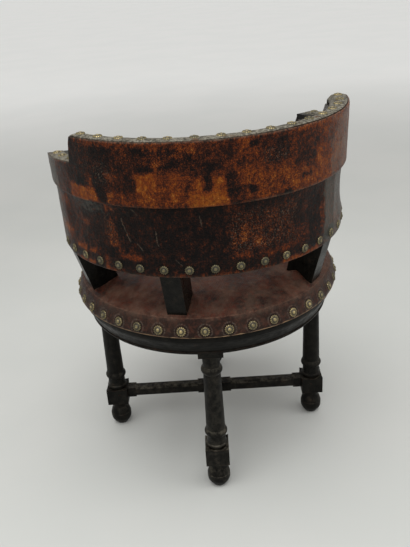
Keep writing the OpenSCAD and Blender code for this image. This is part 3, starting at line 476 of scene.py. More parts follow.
dusty = useGroup(tree, dustGroup, {"Coordinates": place, "Size": 26.0, "Amount": 0.62, "On sides": 0.10})["Dust"]
feed(tree, over(tree, base, seatLook["dust"], dusty, 0.55), shader["Base Color"])
rough = step(tree, mottle, 0.3, 0.7, 0.33, 0.55)
feed(tree, calc(tree, "MULTIPLY_ADD", dusty, 0.3, rough, clamp=True), shader["Roughness"])
bump(tree, shader, grain["Height"], 0.55, 0.0014)

# The back's leather: each band is brushed with a level, from black to worn orange, and noise breaks it up
backLook = dict(
    ramp=[(0.00, "060404"), (0.16, "110a08"), (0.30, "25120c"), (0.44, "45200f"), (0.58, "652c12"), (0.72, "773b10"),
          (0.88, "8e5219"), (1.00, "ac7740")],
    # the grey colour that is painted in as sheen on the back's leather
    tarnishAndPaintedSheen="5d5f57", pale="9c8c78", specular=0.10, smooth=0.34)
scratches = [  # (angle, height) points of thin lines on the lower band, and how pale each one is
    ([(-50.7, 0.661), (-49.7, 0.639), (-47.9, 0.614)], 0.55), ([(-37.3, 0.641), (-36.9, 0.612)], 0.45),
    ([(-44.9, 0.612), (-43.2, 0.600)], 0.45), ([(-45.8, 0.681), (-43.8, 0.670)], 0.30),
    ([(-22.0, 0.668), (-21.6, 0.648)], 0.30), ([(-68.3, 0.640), (-69.3, 0.607)], 0.25),
    ([(-31.0, 0.585), (-29.2, 0.574)], 0.30), ([(-58.6, 0.652), (-55.5, 0.668)], 0.22)]


def backLeather(name, crackScale, dullest, lines=()):
    material, tree, shader, coords = newMaterial(name, 0.4, Specular_IOR_Level=backLook["specular"])
    flat = addNode(tree, "UVMap", uv_map="unrolled").outputs[0]
    place = coords["Object"]
    brush = painted(tree, "worn")
    marks = painted(tree, "marks")
    streaks = noiseAt(tree, stretched(tree, flat, (230, 36, 1)), 1.0, 5, 0.68)
    broad = noiseAt(tree, place, 55, 5, 0.68)
    mottle = noiseAt(tree, place, 170, 6, 0.74)
    fine = noiseAt(tree, place, 520, 4, 0.75)
    grain = useGroup(tree, hideGroup, {"Coordinates": place, "Pores": 800.0, "Cracks": crackScale})
    rubbedAway = step(tree, brush[0], 0.58, 0.76, 1.0, 0.45)  # the worn orange is smoother
    level = calc(tree, "ADD", brush[0], times(tree, calc(tree, "SUBTRACT", broad, 0.5), 0.75))
    blotch = times(tree, calc(tree, "SUBTRACT", mottle, 0.5), times(tree, rubbedAway, 1.35))
    level = calc(tree, "ADD", level, blotch)
    level = calc(tree, "ADD", level, times(tree, calc(tree, "SUBTRACT", streaks, 0.5), 0.60))
    speckle = times(tree, calc(tree, "SUBTRACT", fine, 0.5), calc(tree, "MULTIPLY_ADD", marks[0], 2.6, 0.5))
    speckle = times(tree, speckle, rubbedAway)
    level = calc(tree, "ADD", level, speckle)
    base = rampOf(tree, level, backLook["ramp"])
    base = over(tree, base, "0a0605", grain["Cracks"], 0.45)
    crust = times(tree, step(tree, noiseAt(tree, place, 300, 5, 0.8), 0.55, 0.68), marks[1])
    base = over(tree, base, backLook["pale"], crust, 0.8)
    # painted sheen: grey patches laid into the colour where the leather would catch reflections at grazing angles; the
    # roughness is lowered there too
    tarnishAndPaintedSheen = useGroup(tree, raggedGroup, {"Coordinates": place, "Patch": brush[1], "Size": 90.0, "Spread": 1.0})["Mask"]
    tarnishAndPaintedSheen = times(tree, tarnishAndPaintedSheen, step(tree, streaks, 0.20, 0.80, 0.25, 1.0))
    base = over(tree, base, backLook["tarnishAndPaintedSheen"], tarnishAndPaintedSheen, 0.50)
    drawn = marks[2]
    shaken = addNode(tree, "TexNoise", {"Vector": place, "Scale": 120.0, "Detail": 2.0}).outputs["Color"]
    shaken = vectorCalc(tree, "MULTIPLY_ADD", shaken, (0.007, 0.007, 0), flat)
    shift = 0.0035  # what the shaking adds on average
    for line, strength in lines:
        for (a0, z0), (a1, z1) in zip(line, line[1:]):
            ends = [(math.radians(a) * chair["unrollRadius"] + shift, z + shift, 0) for a, z in ((a0, z0), (a1, z1))]
            inputs = {"Coordinates": shaken, "From": ends[0], "To": ends[1], "Width": 0.0012}
            scratch = useGroup(tree, lineGroup, inputs)["Line"]
            drawn = calc(tree, "MAXIMUM", drawn, times(tree, scratch, strength))
    drawn = times(tree, drawn, step(tree, mottle, 0.35, 0.60, 0.10, 0.50))
    feed(tree, blend(tree, drawn, base, tone(backLook["pale"])), shader["Base Color"])
    rough = step(tree, mottle, 0.3, 0.7, backLook["smooth"], dullest)
    feed(tree, calc(tree, "MULTIPLY_ADD", brush[1], -0.12, rough, clamp=True), shader["Roughness"])
    bump(tree, shader, grain["Height"], 0.5, 0.0012)
    return material


upperLeather = backLeather("upper leather", 120.0, 0.52)
lowerLeather = backLeather("lower leather", 170.0, 0.54, scratches)

# Grey-green leather of the strips on the crest and on the arms
stripLeather, tree, shader, coords = newMaterial("strip leather", 0.55, Specular_IOR_Level=0.12)
place = coords["Object"]
parts = addNode(tree, "SeparateXYZ", {0: place}).outputs
radius = radiusOf(tree, parts)
grain = useGroup(tree, hideGroup, {"Coordinates": place, "Pores": 620.0, "Cracks": 240.0})
base = blend(tree, step(tree, noiseAt(tree, place, 150, 6, 0.75), 0.38, 0.62), tone("38342b"), tone("8b8678"))
base = over(tree, base, "1c1913", grain["Cracks"], 0.55)
base = blend(tree, step(tree, noiseAt(tree, place, 45, 4), 0.56, 0.72), base, tone("57402c"))
# painted shade: a dark line along the strip's outer edge, stronger on the sitter's right, stands for the shade in the
# gap to the band below
paintedGapShade = times(tree, step(tree, radius, 0.3140, 0.3154), step(tree, parts[0], 0.10, -0.10, 0.45, 0.95))
feed(tree, blend(tree, paintedGapShade, base, tone("2a1c12")), shader["Base Color"])
bump(tree, shader, grain["Height"], 0.6, 0.0012)

# Dark red-brown leather that faces the sitter
liningLeather, tree, shader, coords = newMaterial("lining leather", 0.45, Specular_IOR_Level=0.14)
place = coords["Object"]
grain = useGroup(tree, hideGroup, {"Coordinates": place, "Pores": 850.0, "Cracks": 150.0})
broad = noiseAt(tree, place, 14, 5, 0.6)
mottle = noiseAt(tree, place, 130, 6, 0.7)
base = blend(tree, step(tree, broad, 0.36, 0.64), tone("1c0f0b"), tone("43271c"))
base = over(tree, base, "6a3c25", step(tree, mottle, 0.52, 0.68), 0.5)
parts = addNode(tree, "SeparateXYZ", {0: place}).outputs
armTips = times(tree, step(tree, parts[2], 0.700, 0.715), step(tree, parts[1], 0.030, 0.000))
topEdge = calc(tree, "MAXIMUM", step(tree, parts[2], 0.772, 0.792), armTips)
base = over(tree, base, "3a3a36", topEdge, 0.85)
base = over(tree, base, "120a07", grain["Cracks"], 0.5)
feed(tree, base, shader["Base Color"])
feed(tree, step(tree, mottle, 0.3, 0.7, 0.32, 0.55), shader["Roughness"])
bump(tree, shader, grain["Height"], 0.5, 0.0014)

# Jute of the hessian and of the webbing
juteWeave, tree, shader, coords = newMaterial("jute weave", 0.85)
place = coords["Object"]
threads = {"Vector": place, "Scale": 130.0, "Distortion": 0.6, "Detail": 2.0}
warp = addNode(tree, "TexWave", threads, bands_direction="X").outputs[1]
weft = addNode(tree, "TexWave", threads, bands_direction="Y").outputs[1]
weave = times(tree, warp, weft)
feed(tree, blend(tree, calc(tree, "MULTIPLY_ADD", weave, 0.6, times(tree, noiseAt(tree, place, 50), 0.4)),
                 tone("4b3d28"), tone("8b7550")), shader["Base Color"])
bump(tree, shader, weave, 0.6, 0.0008)

# Brass of the rosette nails: bright on the petals, dark in the hollows, greenish where it is dull
nailBrass, tree, shader, coords = newMaterial("rosette brass", 0.4)
place = coords["Object"]
relief = painted(tree, "relief")
dull = step(tree, calc(tree, "ADD", times(tree, relief[1], 0.7), noiseAt(tree, place, 220, 4)), 0.62, 1.0)
metal = blend(tree, dull, tone("cdb983"), tone("857c5c"))
feed(tree, blend(tree, relief[0], metal, tone("120e0a")), shader["Base Color"])
feed(tree, step(tree, relief[0], 0.2, 0.8, 0.85, 0.1), shader["Metallic"])
feed(tree, calc(tree, "MULTIPLY_ADD", dull, 0.22, 0.30), shader["Roughness"])
bump(tree, shader, noiseAt(tree, place, 900), 0.3, 0.0004)
print("leathers, jute and nail brass finished")

# Outer leather bands of the back
def packColumns(half, count):  # angles from middle to tip, closer together where the crest ends
    knots = [(0.0, 0.0), (0.62, 65.5), (0.78, 71.5), (1.0, half)]
    return [along(knots, i / count) for i in range(count + 1)]


def bandColumns(bm, half, count):  # move evenly spun columns to those angles
    spots = packColumns(half, count)

    def slide(angle, r, z):
        share = min(abs(angle) / half * count, count)
        low = min(int(share), count - 1)
        return math.copysign(mix(spots[low], spots[low + 1], share - low), angle), r, z
    reshape(bm, slide)


upperBand = dict(
    half=97.9, columns=210, rows=34, thickness=0.0022, ripple=0.0005, ground=0.40, fleck=0.35,
    worn=[  # from black, 0, to rubbed orange, 1, painted one over the other
        (-100, -72, 0.685, 0.812, 0.30, 3), (-72, -57, 0.716, 0.812, 0.18, 1.5), (-58, -50, 0.715, 0.800, 0.12, 2),
        (-50, -42, 0.700, 0.775, 0.27, 2), (-50, -20, 0.756, 0.797, 0.24, 1.5), (-66, -20, 0.797, 0.812, 0.44, 1),
        (-35, -25, 0.690, 0.756, 0.55, 2), (-20, -10, 0.770, 0.803, 0.34, 1.5), (-10, 12, 0.700, 0.752, 0.52, 2),
        (-9, 0, 0.770, 0.806, 0.42, 1.5), (0, 9, 0.755, 0.795, 0.26, 1.5), (10, 35, 0.690, 0.735, 0.60, 2.5),
        (22, 31, 0.745, 0.790, 0.55, 2), (30, 60, 0.690, 0.812, 0.55, 3), (-72, -58.5, 0.688, 0.716, 0.69, 0.8),
        (-61.3, -59.3, 0.714, 0.748, 0.50, 0.5), (-54, -50, 0.735, 0.750, 0.50, 0.8),
        (-53.5, -50.5, 0.690, 0.712, 0.60, 0.8), (-50, -42, 0.688, 0.712, 0.52, 1.5),
        (-42.3, -35, 0.716, 0.752, 0.70, 1.0), (-42, -35, 0.688, 0.714, 0.58, 1),
        (-31.5, -28.5, 0.702, 0.716, 0.66, 0.7), (-25, -12.5, 0.686, 0.716, 0.73, 1.0),
        (-22.8, -12.5, 0.714, 0.742, 0.68, 1.1), (-36, -33, 0.764, 0.776, 0.58, 0.8),
        (-30.5, -25.5, 0.777, 0.785, 0.58, 0.7), (-25, -21, 0.785, 0.804, 0.54, 1),
        (-8, -5.5, 0.784, 0.806, 0.58, 0.8), (13, 30, 0.798, 0.807, 0.62, 0.8), (21.5, 24.5, 0.726, 0.760, 0.66, 0.9),
        (25, 27.5, 0.757, 0.766, 0.58, 0.8), (33, 42, 0.733, 0.751, 0.58, 2), (-67.5, -63.5, 0.718, 0.731, 0.03, 0.8),
        (-58, -50.5, 0.770, 0.796, 0.05, 1.2), (-58, -53.5, 0.690, 0.765, 0.12, 1),
        (-41.5, -36.5, 0.756, 0.767, 0.04, 0.7), (-31.5, -27, 0.761, 0.780, 0.12, 1.0),
        (-25, -20, 0.773, 0.785, 0.15, 1.0), (-43, -38.5, 0.785, 0.796, 0.08, 0.8),
        (-20.3, -17.6, 0.716, 0.746, 0.24, 0.6), (-19.5, -13.8, 0.756, 0.771, 0.14, 1.0),
        (-12.6, -9.6, 0.689, 0.751, 0.25, 0.8), (-10, -6, 0.689, 0.722, 0.28, 0.8),
        (-5.2, -2.6, 0.706, 0.719, 0.03, 0.5), (-4.6, -1.8, 0.787, 0.797, 0.08, 0.6),
        (4, 8.5, 0.761, 0.797, 0.20, 1.4), (7.3, 10, 0.689, 0.697, 0.05, 0.6), (11.5, 21.5, 0.735, 0.771, 0.27, 2.5),
        (14, 24.5, 0.770, 0.789, 0.28, 2.5), (15, 20, 0.711, 0.722, 0.28, 0.8), (28, 34, 0.758, 0.790, 0.42, 3)],
    # the next list is painted sheen: grey patches that stand for reflections on the leather
    tarnishAndPaintedSheen=[(-100, -82, 0.685, 0.80, 0.75, 3), (-82, -73, 0.69, 0.76, 0.35, 2), (30, 60, 0.685, 0.812, 0.55, 3),
          (28, 36, 0.755, 0.795, 0.45, 2), (60, 76, 0.685, 0.812, 0.60, 3), (78, 100, 0.685, 0.812, 0.20, 4)],
    speckle=[(-66, -20, 0.756, 0.797, 0.8, 2), (-58, -50, 0.69, 0.77, 0.7, 2), (0, 10, 0.755, 0.79, 0.8, 1.5),
             (-12, 20, 0.70, 0.75, 0.5, 3)],
    crust=[(-58, -52, 0.725, 0.765, 0.6, 1), (-54, -50, 0.735, 0.75, 0.8, 1), (0, 8, 0.755, 0.78, 0.6, 1),
           (-66, -58, 0.73, 0.80, 0.2, 2)])


def bandBlank(band, edge, low, high, radius):  # edge holds the points of the band's rolled lower edge
    heights = [mix(low, high, i / band["rows"]) for i in range(1, band["rows"] + 1)]
    return spun(edge + [(radius(z), z) for z in heights], -band["half"], band["half"], 2 * band["columns"])


def finishBand(name, bm, material, band, lineAt):
    faceOut(bm, fromAxis)
    piece = addPiece(name + "_band_leather", bm, material, [name + "_band"])
    unroll(piece.data)
    # the worn attribute carries the wear level, then the painted sheen
    paint(piece.data, "worn", lambda co: (brushed(band["ground"], band["worn"], co), brushed(0, band["tarnishAndPaintedSheen"], co), 0))
    paint(piece.data, "marks", lambda co: (brushed(band["fleck"], band["speckle"], co), brushed(0, band["crust"], co),
                                           lineAt(co)))
    finishWith(piece, "SOLIDIFY", thickness=band["thickness"], offset=-1.0)
    return piece


def upperLine(co):
    angle, z = polar(co)[0], co.z
    lip = 1 - ease(0.0008, 0.0026, abs(z - topHeight(angle) + 0.0012))  # rubbed line along the top edge
    foot = 1 - ease(0.6890, 0.6915, z)
    line = max(lip * (0.8 if abs(angle) < 70 else 0.4), foot * (0.55 if -5 < angle < 31 else 0.20))
    return line * (0.55 + 0.45 * wobble(co, 0.012, 3.0))


edge = [(-0.0046, -0.0004), (-0.0030, -0.0014), (-0.0012, -0.0009), (-0.0002, 0.0006)]
edge = [(chair["bandRadius"] + dr, chair["crease"] + dz) for dr, dz in edge]
bm = bandBlank(upperBand, edge, chair["crease"] + 0.0006, chair["crestTop"] - 0.0012, upperRadius)
bandColumns(bm, upperBand["half"], upperBand["columns"])


def shapeUpper(angle, r, z):
    foot = chair["crease"] + 0.0006
    share = max(0.0, (z - foot) / (chair["crestTop"] - 0.0012 - foot))
    if share > 0:
        z = mix(foot, topHeight(angle) - 0.0012, share)
        r = upperRadius(z)
        flat = flatPlace(angle, z)
        r += upperBand["ripple"] * wobble(flat, 0.03, 5.0) + 0.0004 * wobble(flat, 0.012, 9.0)
        r -= 0.0012 * ease(0.985, 1.0, share)  # the top edge rolls in
    return angle, r, z


reshape(bm, shapeUpper)
upper = finishBand("upper", bm, upperLeather, upperBand, upperLine)
finishWith(upper, "BEVEL", width=0.0005, segments=2, limit_method="ANGLE")

lowerBand = dict(
    half=97.9, columns=210, rows=40, thickness=0.0022, sag=0.0056, ground=0.20, fleck=0.20,
    worn=[
        (-100, -86, 0.549, 0.690, 0.34, 3), (-90, -70, 0.570, 0.690, 0.28, 2.5), (-70, -52, 0.590, 0.665, 0.20, 2),
        (-52, -12, 0.556, 0.690, 0.17, 2), (-12, 14, 0.590, 0.668, 0.23, 4), (14, 28, 0.600, 0.690, 0.20, 3),
        (28, 60, 0.549, 0.690, 0.34, 3), (-92, -80, 0.590, 0.616, 0.60, 1.5), (-90, -79, 0.658, 0.676, 0.48, 1.2),
        (-72, -67.5, 0.629, 0.646, 0.45, 1), (-58, -53.3, 0.604, 0.631, 0.44, 1.1),
        (-57, -54, 0.628, 0.652, 0.34, 1.0), (-57.5, -53, 0.671, 0.691, 0.56, 0.8),
        (-77, -70, 0.575, 0.587, 0.58, 0.8), (-68.5, -64, 0.577, 0.588, 0.62, 0.7),
        (-52, -43, 0.578, 0.588, 0.48, 0.8), (-60, -58, 0.555, 0.578, 0.48, 0.5), (-31, -28, 0.584, 0.593, 0.38, 0.7),
        (-14, -8, 0.668, 0.690, 0.36, 1), (-8.3, -5.7, 0.608, 0.642, 0.46, 0.8), (-4, 0, 0.598, 0.616, 0.44, 0.8),
        (3, 10.5, 0.598, 0.652, 0.26, 3), (16, 21.5, 0.639, 0.663, 0.29, 2.5), (10, 20.5, 0.577, 0.606, 0.34, 2.5),
        (-10.5, -5, 0.577, 0.593, 0.40, 1.0), (-2, 10, 0.573, 0.583, 0.38, 1.0), (27, 29.5, 0.588, 0.642, 0.40, 0.6),
        (37, 46, 0.573, 0.602, 0.46, 1.5), (-79, -71, 0.547, 0.557, 0.60, 0.8), (-70, -65.5, 0.548, 0.560, 0.66, 0.7),
        (-60.5, -56, 0.547, 0.558, 0.62, 0.7), (-45, -20, 0.547, 0.554, 0.36, 0.8), (-20, 5, 0.547, 0.555, 0.44, 1),
        (7, 26, 0.547, 0.557, 0.66, 1), (30, 38, 0.558, 0.577, 0.08, 1)],
    # the next list is painted sheen: grey patches that stand for reflections on the leather
    tarnishAndPaintedSheen=[(-100, -86, 0.549, 0.69, 0.6, 3), (-77, -56, 0.655, 0.700, 0.50, 3.5), (-56, -44, 0.658, 0.700, 0.35, 3),
          (-6, 9, 0.658, 0.682, 0.42, 3), (18, 27.5, 0.655, 0.691, 0.34, 3), (29, 60, 0.549, 0.69, 0.75, 2),
          (60, 76, 0.549, 0.69, 0.65, 3), (78, 100, 0.549, 0.69, 0.22, 4)],
    speckle=[(-12, 14, 0.59, 0.668, 1.0, 1.5), (-90, -60, 0.56, 0.67, 0.5, 2), (-58, -53, 0.604, 0.652, 0.9, 0.8),
             (10, 21, 0.577, 0.606, 0.6, 1)],
    crust=[(-12, 14, 0.591, 0.665, 0.55, 2), (10, 16, 0.650, 0.670, 0.6, 1), (-58.5, -53, 0.604, 0.652, 0.35, 0.8)])


def lowerLine(co):
    return (1 - ease(0.0, 0.0022, co.z - chair["backFoot"])) * 0.35


def sagging(angle, z):  # the leather hangs in between posts, rails and bow
    edges = [chair["postHalf"] + chair["armPost"], chair["armPost"] - chair["postHalf"],
             chair["backPost"] + chair["postHalf"], chair["backPost"] - chair["postHalf"]]
    a = abs(angle)
    if a < edges[3]:
        side = (edges[3] - a) / 9
    elif edges[2] < a < edges[1]:
        side = min(a - edges[2], edges[1] - a) / 9
    else:
        side = 0.0
    height = between(chair["backFoot"] + 0.03, chair["crease"], z)
    if side <= 0 or height <= 0:
        return 0.0
    return math.sin(min(1.0, side) * math.pi / 2) * math.sin(min(1.0, height) * math.pi) ** 0.7


edge = [(-0.0050, 0.0008), (-0.0030, -0.0006), (-0.0010, -0.0002), (0.0002, 0.0014)]
edge = [(chair["footRadius"] + dr, chair["backFoot"] + dz) for dr, dz in edge]
bm = bandBlank(lowerBand, edge, chair["backFoot"] + 0.0014, chair["crease"] + 0.003, lowerRadius)


def shapeLower(angle, r, z):
    if z < chair["backFoot"] + 0.001:
        return angle, r + 0.0004 * wobble(flatPlace(angle, 0), 0.02, 4.0), z
    flat = 0.0
    for post in (chair["backPost"], chair["armPost"]):  # flat over the outer face of each post
        off = abs(abs(angle) - post)
        if off < chair["postHalf"]:
            flat = r * (1 - math.cos(math.radians(chair["postHalf"])) / math.cos(math.radians(off)))
    r -= flat + lowerBand["sag"] * sagging(angle, z)
    r += 0.0005 * wobble(flatPlace(angle, z), 0.035, 2.0) + 0.0003 * wobble(flatPlace(angle, z), 0.011, 7.0)
    return angle, r, z


reshape(bm, shapeLower)
lower = finishBand("lower", bm, lowerLeather, lowerBand, lowerLine)
print("outer bands made")

# Leather strips on the crest and on the arms
strips = dict(inner=0.2808, ridge=0.2947, outer=0.3161, thickness=0.0022, puff=0.0010, waver=0.0008, fall=0.0045,
              edge=0.0009, arc=0.0052, turnShare=0.15, turnIn=0.0026, turnCrest=0.0045, turnArm=0.0095)


def shapeStrip(angle, r, z):
    share = (r - strips["inner"]) / (strips["outer"] - strips["inner"])
    r += strips["waver"] * wobble((angle * strips["arc"], share, 0), 0.022, 6.0) * share
    z = topHeight(angle, r) + 0.0002 + strips["puff"] * math.sin(math.pi * share)
    z += 0.0005 * wobble((angle * strips["arc"], r, 0), 0.016, 8.0)
    z -= strips["edge"] * ease(0.86, 1.0, share) + 0.0006 * (1 - ease(0.0, 0.10, share))
    z -= 0.0030 * ease(95.8, 97.9, abs(angle))  # the arm's front end is rounded
    onCrest = 1 - ease(66.0, 70.2, abs(angle))
    below = max(0.0, strips["ridge"] - r) / (strips["ridge"] - strips["inner"])
    z -= strips["fall"] * onCrest * below  # it falls towards the sitter
    turn = max(0.0, 1 - share / strips["turnShare"])  # the inner edge is turned down
    r -= strips["turnIn"] * turn
    z -= mix(strips["turnArm"], strips["turnCrest"], onCrest) * turn
    return angle, r, z


across = [(mix(strips["inner"], strips["outer"], i / 12), chair["crestTop"]) for i in range(13)]
bm = spun(across, -chair["crestEnd"], chair["crestEnd"], 340)


def spreadStrip(angle, r, z):  # more columns where the strip turns down the crest's ends
    share = abs(angle) / chair["crestEnd"]
    return math.copysign(along([(0, 0), (0.90, 67.0), (1.0, chair["crestEnd"])], share), angle), r, z


reshape(bm, spreadStrip)
reshape(bm, shapeStrip)
faceOut(bm, lambda co: Vector((0, 0, 1)))
crestStrip = addPiece("crest_strip_leather", bm, stripLeather, ["crest_strip"])
finishWith(crestStrip, "SOLIDIFY", thickness=strips["thickness"], offset=-1.0)
for side, name in ((1, "right"), (-1, "left")):
    bm = spun(across, 70.7, 97.9, 70)
    reshape(bm, shapeStrip)
    if side < 0:
        bmesh.ops.scale(bm, vec=(-1, 1, 1), verts=bm.verts)
    faceOut(bm, lambda co: Vector((0, 0, 1)))
    strip = addPiece("arm_strip_leather_" + name, bm, stripLeather, ["arm_strip_" + name])
    finishWith(strip, "SOLIDIFY", thickness=strips["thickness"], offset=-1.0)
print("strips made")

# Stuffed parts
def surfaceOf(piece):  # the piece's shape with its modifiers, as a plain mesh
    bpy.context.view_layer.update()
    return bpy.data.meshes.new_from_object(piece.evaluated_get(bpy.context.evaluated_depsgraph_get()))


def plump(name, bm, voxel, pressure, pinned, cap):  # fill it for a few frames, and keep each point's move small
    frames = 20
    bmesh.ops.triangulate(bm, faces=[f for f in bm.faces if len(f.verts) > 4])
    blank = placed(name + "_blank", meshOf(name + "_blank", bm))
    finishWith(blank, "REMESH", mode="VOXEL", voxel_size=voxel)
    soft = placed(name + "_soft", surfaceOf(blank))
    before = [v.co.copy() for v in soft.data.vertices]
    group = soft.vertex_groups.new(name="pinned")
    for i, co in enumerate(before):
        group.add([i], pinned(co), "REPLACE")
    cloth = finishWith(soft, "CLOTH")
    cloth.settings.quality = 4
    cloth.settings.mass = 0.4
    cloth.settings.use_pressure = True
    cloth.settings.uniform_pressure_force = pressure
    cloth.settings.vertex_group_mass = "pinned"
    cloth.settings.effector_weights.gravity = 0
    cloth.point_cache.frame_start = 1
    cloth.point_cache.frame_end = frames
    for number in range(1, frames + 1):
        scene.frame_set(number)
    swollen = surfaceOf(soft)
    after = [v.co.copy() for v in swollen.vertices]
    soft.modifiers.remove(cloth)
    for v, old, new in zip(soft.data.vertices, before, after):
        move = new - old
        v.co = old + move * min(1.0, cap / max(move.length, 1e-9))
    scene.frame_set(1)
    mesh = soft.data.copy()
    bpy.data.objects.remove(soft)
    bpy.data.objects.remove(blank)
    return mesh


seatShape = dict(voxel=0.0058, startCrown=0.017, pressure=3.5, cap=0.007, crownFrom=0.452, crownLimit=0.4875,
                 humpAngle=29.0, humpRadius=0.247, humpRise=0.016, humpTurn=3.4, humpDepth=0.017,
                 rollRadius=0.2835, rollWidth=0.0028, rollRise=0.0011, skirtFrom=0.4125, dimple=0.0012,
                 dimpleSize=0.012)
foot, top = chair["skirtFoot"] + 0.0005, chair["seatTop"]
profile = [(0.0, foot), (0.10, foot), (0.20, foot), (0.292, foot), (0.2985, foot + 0.0008), (0.3005, foot + 0.004)]
profile += [(mix(0.3005, 0.2868, i / 8), mix(foot + 0.004, top - 0.0075, i / 8)) for i in range(1, 9)]
profile += [(0.2845, top - 0.0025), (0.2810, top + 0.0004)]
for i in range(1, 14):  # the crown, in to the middle
    out = 1 - i / 14
    profile.append((0.2810 * out, top + 0.0004 + seatShape["startCrown"] * (1 - out ** 2)))
profile += [(0.0, top + seatShape["startCrown"])]
bm = spun(profile, 0, 360, 160)
bmesh.ops.remove_doubles(bm, verts=bm.verts, dist=1e-5)
bmesh.ops.recalc_face_normals(bm, faces=bm.faces)
row = nails["seat"]
mesh = plump("seat_cushion", bm, seatShape["voxel"], seatShape["pressure"],
             lambda co: 1.0 if co.z < 0.437 else 0.85 * ease(0.456, 0.440, co.z), seatShape["cap"])
for v in mesh.vertices:
    angle, r, z = polar(v.co)
    if z > seatShape["crownFrom"]:
        z = min(z, seatShape["crownLimit"])
        sideways = (angle - seatShape["humpAngle"]) / seatShape["humpTurn"]
        inwards = (r - seatShape["humpRadius"]) / seatShape["humpDepth"]
        z += seatShape["humpRise"] * math.exp(-sideways ** 2 - inwards ** 2)
        z += 0.0012 * wobble(v.co, 0.09, 1.0) + 0.0004 * wobble(v.co, 0.02, 4.0)
        offRim = (r - seatShape["rollRadius"]) / seatShape["rollWidth"]
        z += seatShape["rollRise"] * math.exp(-offRim ** 2)  # a slight roll along the rim
    elif z > seatShape["skirtFrom"]:
        offNail = (angle + row["apart"] / 2) % row["apart"] - row["apart"] / 2
        near = math.hypot(math.radians(offNail) * row["radius"], z - row["height"])
        r -= seatShape["dimple"] * math.exp(-(near / seatShape["dimpleSize"]) ** 2)
        r += 0.0006 * wobble(v.co, 0.03, 2.0)
    v.co = around(angle, r, z)
cushion = finishPiece("seat_cushion", mesh, seatLeather, ["seat_leather", "seat_stuffing"])
finishWith(cushion, "SUBSURF", levels=1, render_levels=1)
print("seat cushion made")

# The stuffed lining that faces the sitter
padShape = dict(
    voxel=0.0058, half=97.6, pressure=3.0, cap=0.006, stuffing=0.024, back=0.0027, offFrame=0.0004, least=0.17,
    crestDrop=0.0080, crestEndDrop=0.0055, armDrop=0.0050, armEndDrop=0.0050,
    shares=[(0.0, 0.10), (0.10, 0.14), (0.15, 0.50), (0.24, 0.85), (0.36, 1.0), (0.54, 0.98), (0.68, 0.84),
            (0.82, 0.54), (0.90, 0.31), (0.95, 0.19), (1.0, 0.17)])
railFoot = 0.551


def supportRadius(z):  # the face of posts, bow and crest that carries the stuffing
    if z < chair["bowFoot"]:
        return mix(chair["postIn"], chair["bowIn"], between(chair["postFoot"], chair["bowFoot"], z))
    return mix(chair["bowIn"], chair["stripIn"], between(chair["bowFoot"], chair["crestTop"], z))


def stuffingAt(angle, share):  # how full the pad is, from 0 to 1; it thins out towards the front end of each arm
    full = along(padShape["shares"], share)
    return mix(full, min(full, padShape["least"]), ease(86, 96.5, abs(angle)) * ease(0.50, 0.78, share))


def faceRadius(angle, share, z):
    return supportRadius(z) - padShape["back"] - padShape["stuffing"] * stuffingAt(angle, share)


def padTop(angle):  # it lies below the strips, and lower still at the ends of the crest and of the arms
    a = abs(angle)
    onCrest = padShape["crestDrop"] + padShape["crestEndDrop"] * ease(52, 62, a)
    onArm = padShape["armDrop"] + padShape["armEndDrop"] * ease(88, 96, a)
    return topHeight(angle) - mix(onCrest, onArm, ease(68, 71.5, a))


profile = [(i / 40, 1.0) for i in range(41)]  # the face, from the bottom up, then the back of it, down again
profile += [(i / 20, 0.0) for i in range(20, -1, -1)]
bm = bmesh.new()
verts = [bm.verts.new(around(-padShape["half"], 0.2 + 0.1 * side, share)) for share, side in profile]
edges = [bm.edges.new(pair) for pair in zip(verts, verts[1:] + verts[:1])]
bmesh.ops.spin(bm, geom=verts + edges, cent=(0, 0, 0), axis=(0, 0, 1), angle=math.radians(2 * padShape["half"]),
               steps=260, use_merge=False, use_duplicate=False)


def shapePad(angle, r, share):
    z = mix(railFoot, padTop(angle), share)
    if r > 0.25:  # the stuffed face
        r = faceRadius(angle, share, z)
    else:  # the back of it, on the frame
        r = supportRadius(z) - padShape["offFrame"]
    return angle, r, z


reshape(bm, shapePad)
bmesh.ops.holes_fill(bm, edges=[e for e in bm.edges if e.is_boundary])
bmesh.ops.recalc_face_normals(bm, faces=bm.faces)


def padPinned(co):
    behind = supportRadius(co.z) - math.hypot(co.x, co.y)
    return 1.0 if behind < 0.006 or co.z < 0.562 else 0.0


mesh = plump("back_pad", bm, padShape["voxel"], padShape["pressure"], padPinned, padShape["cap"])
for v in mesh.vertices:
    angle, r, z = polar(v.co)
    if r < supportRadius(z) - 0.008:
        r += 0.0010 * wobble(v.co, 0.08, 3.0) + 0.0004 * wobble(v.co, 0.02, 5.0)
    r = min(r, supportRadius(z) - padShape["offFrame"])
    v.co = around(angle, r, z)
pad = finishPiece("back_pad", mesh, liningLeather, ["back_lining", "back_stuffing"])
finishWith(pad, "SUBSURF", levels=1, render_levels=1)
print("back pad made")

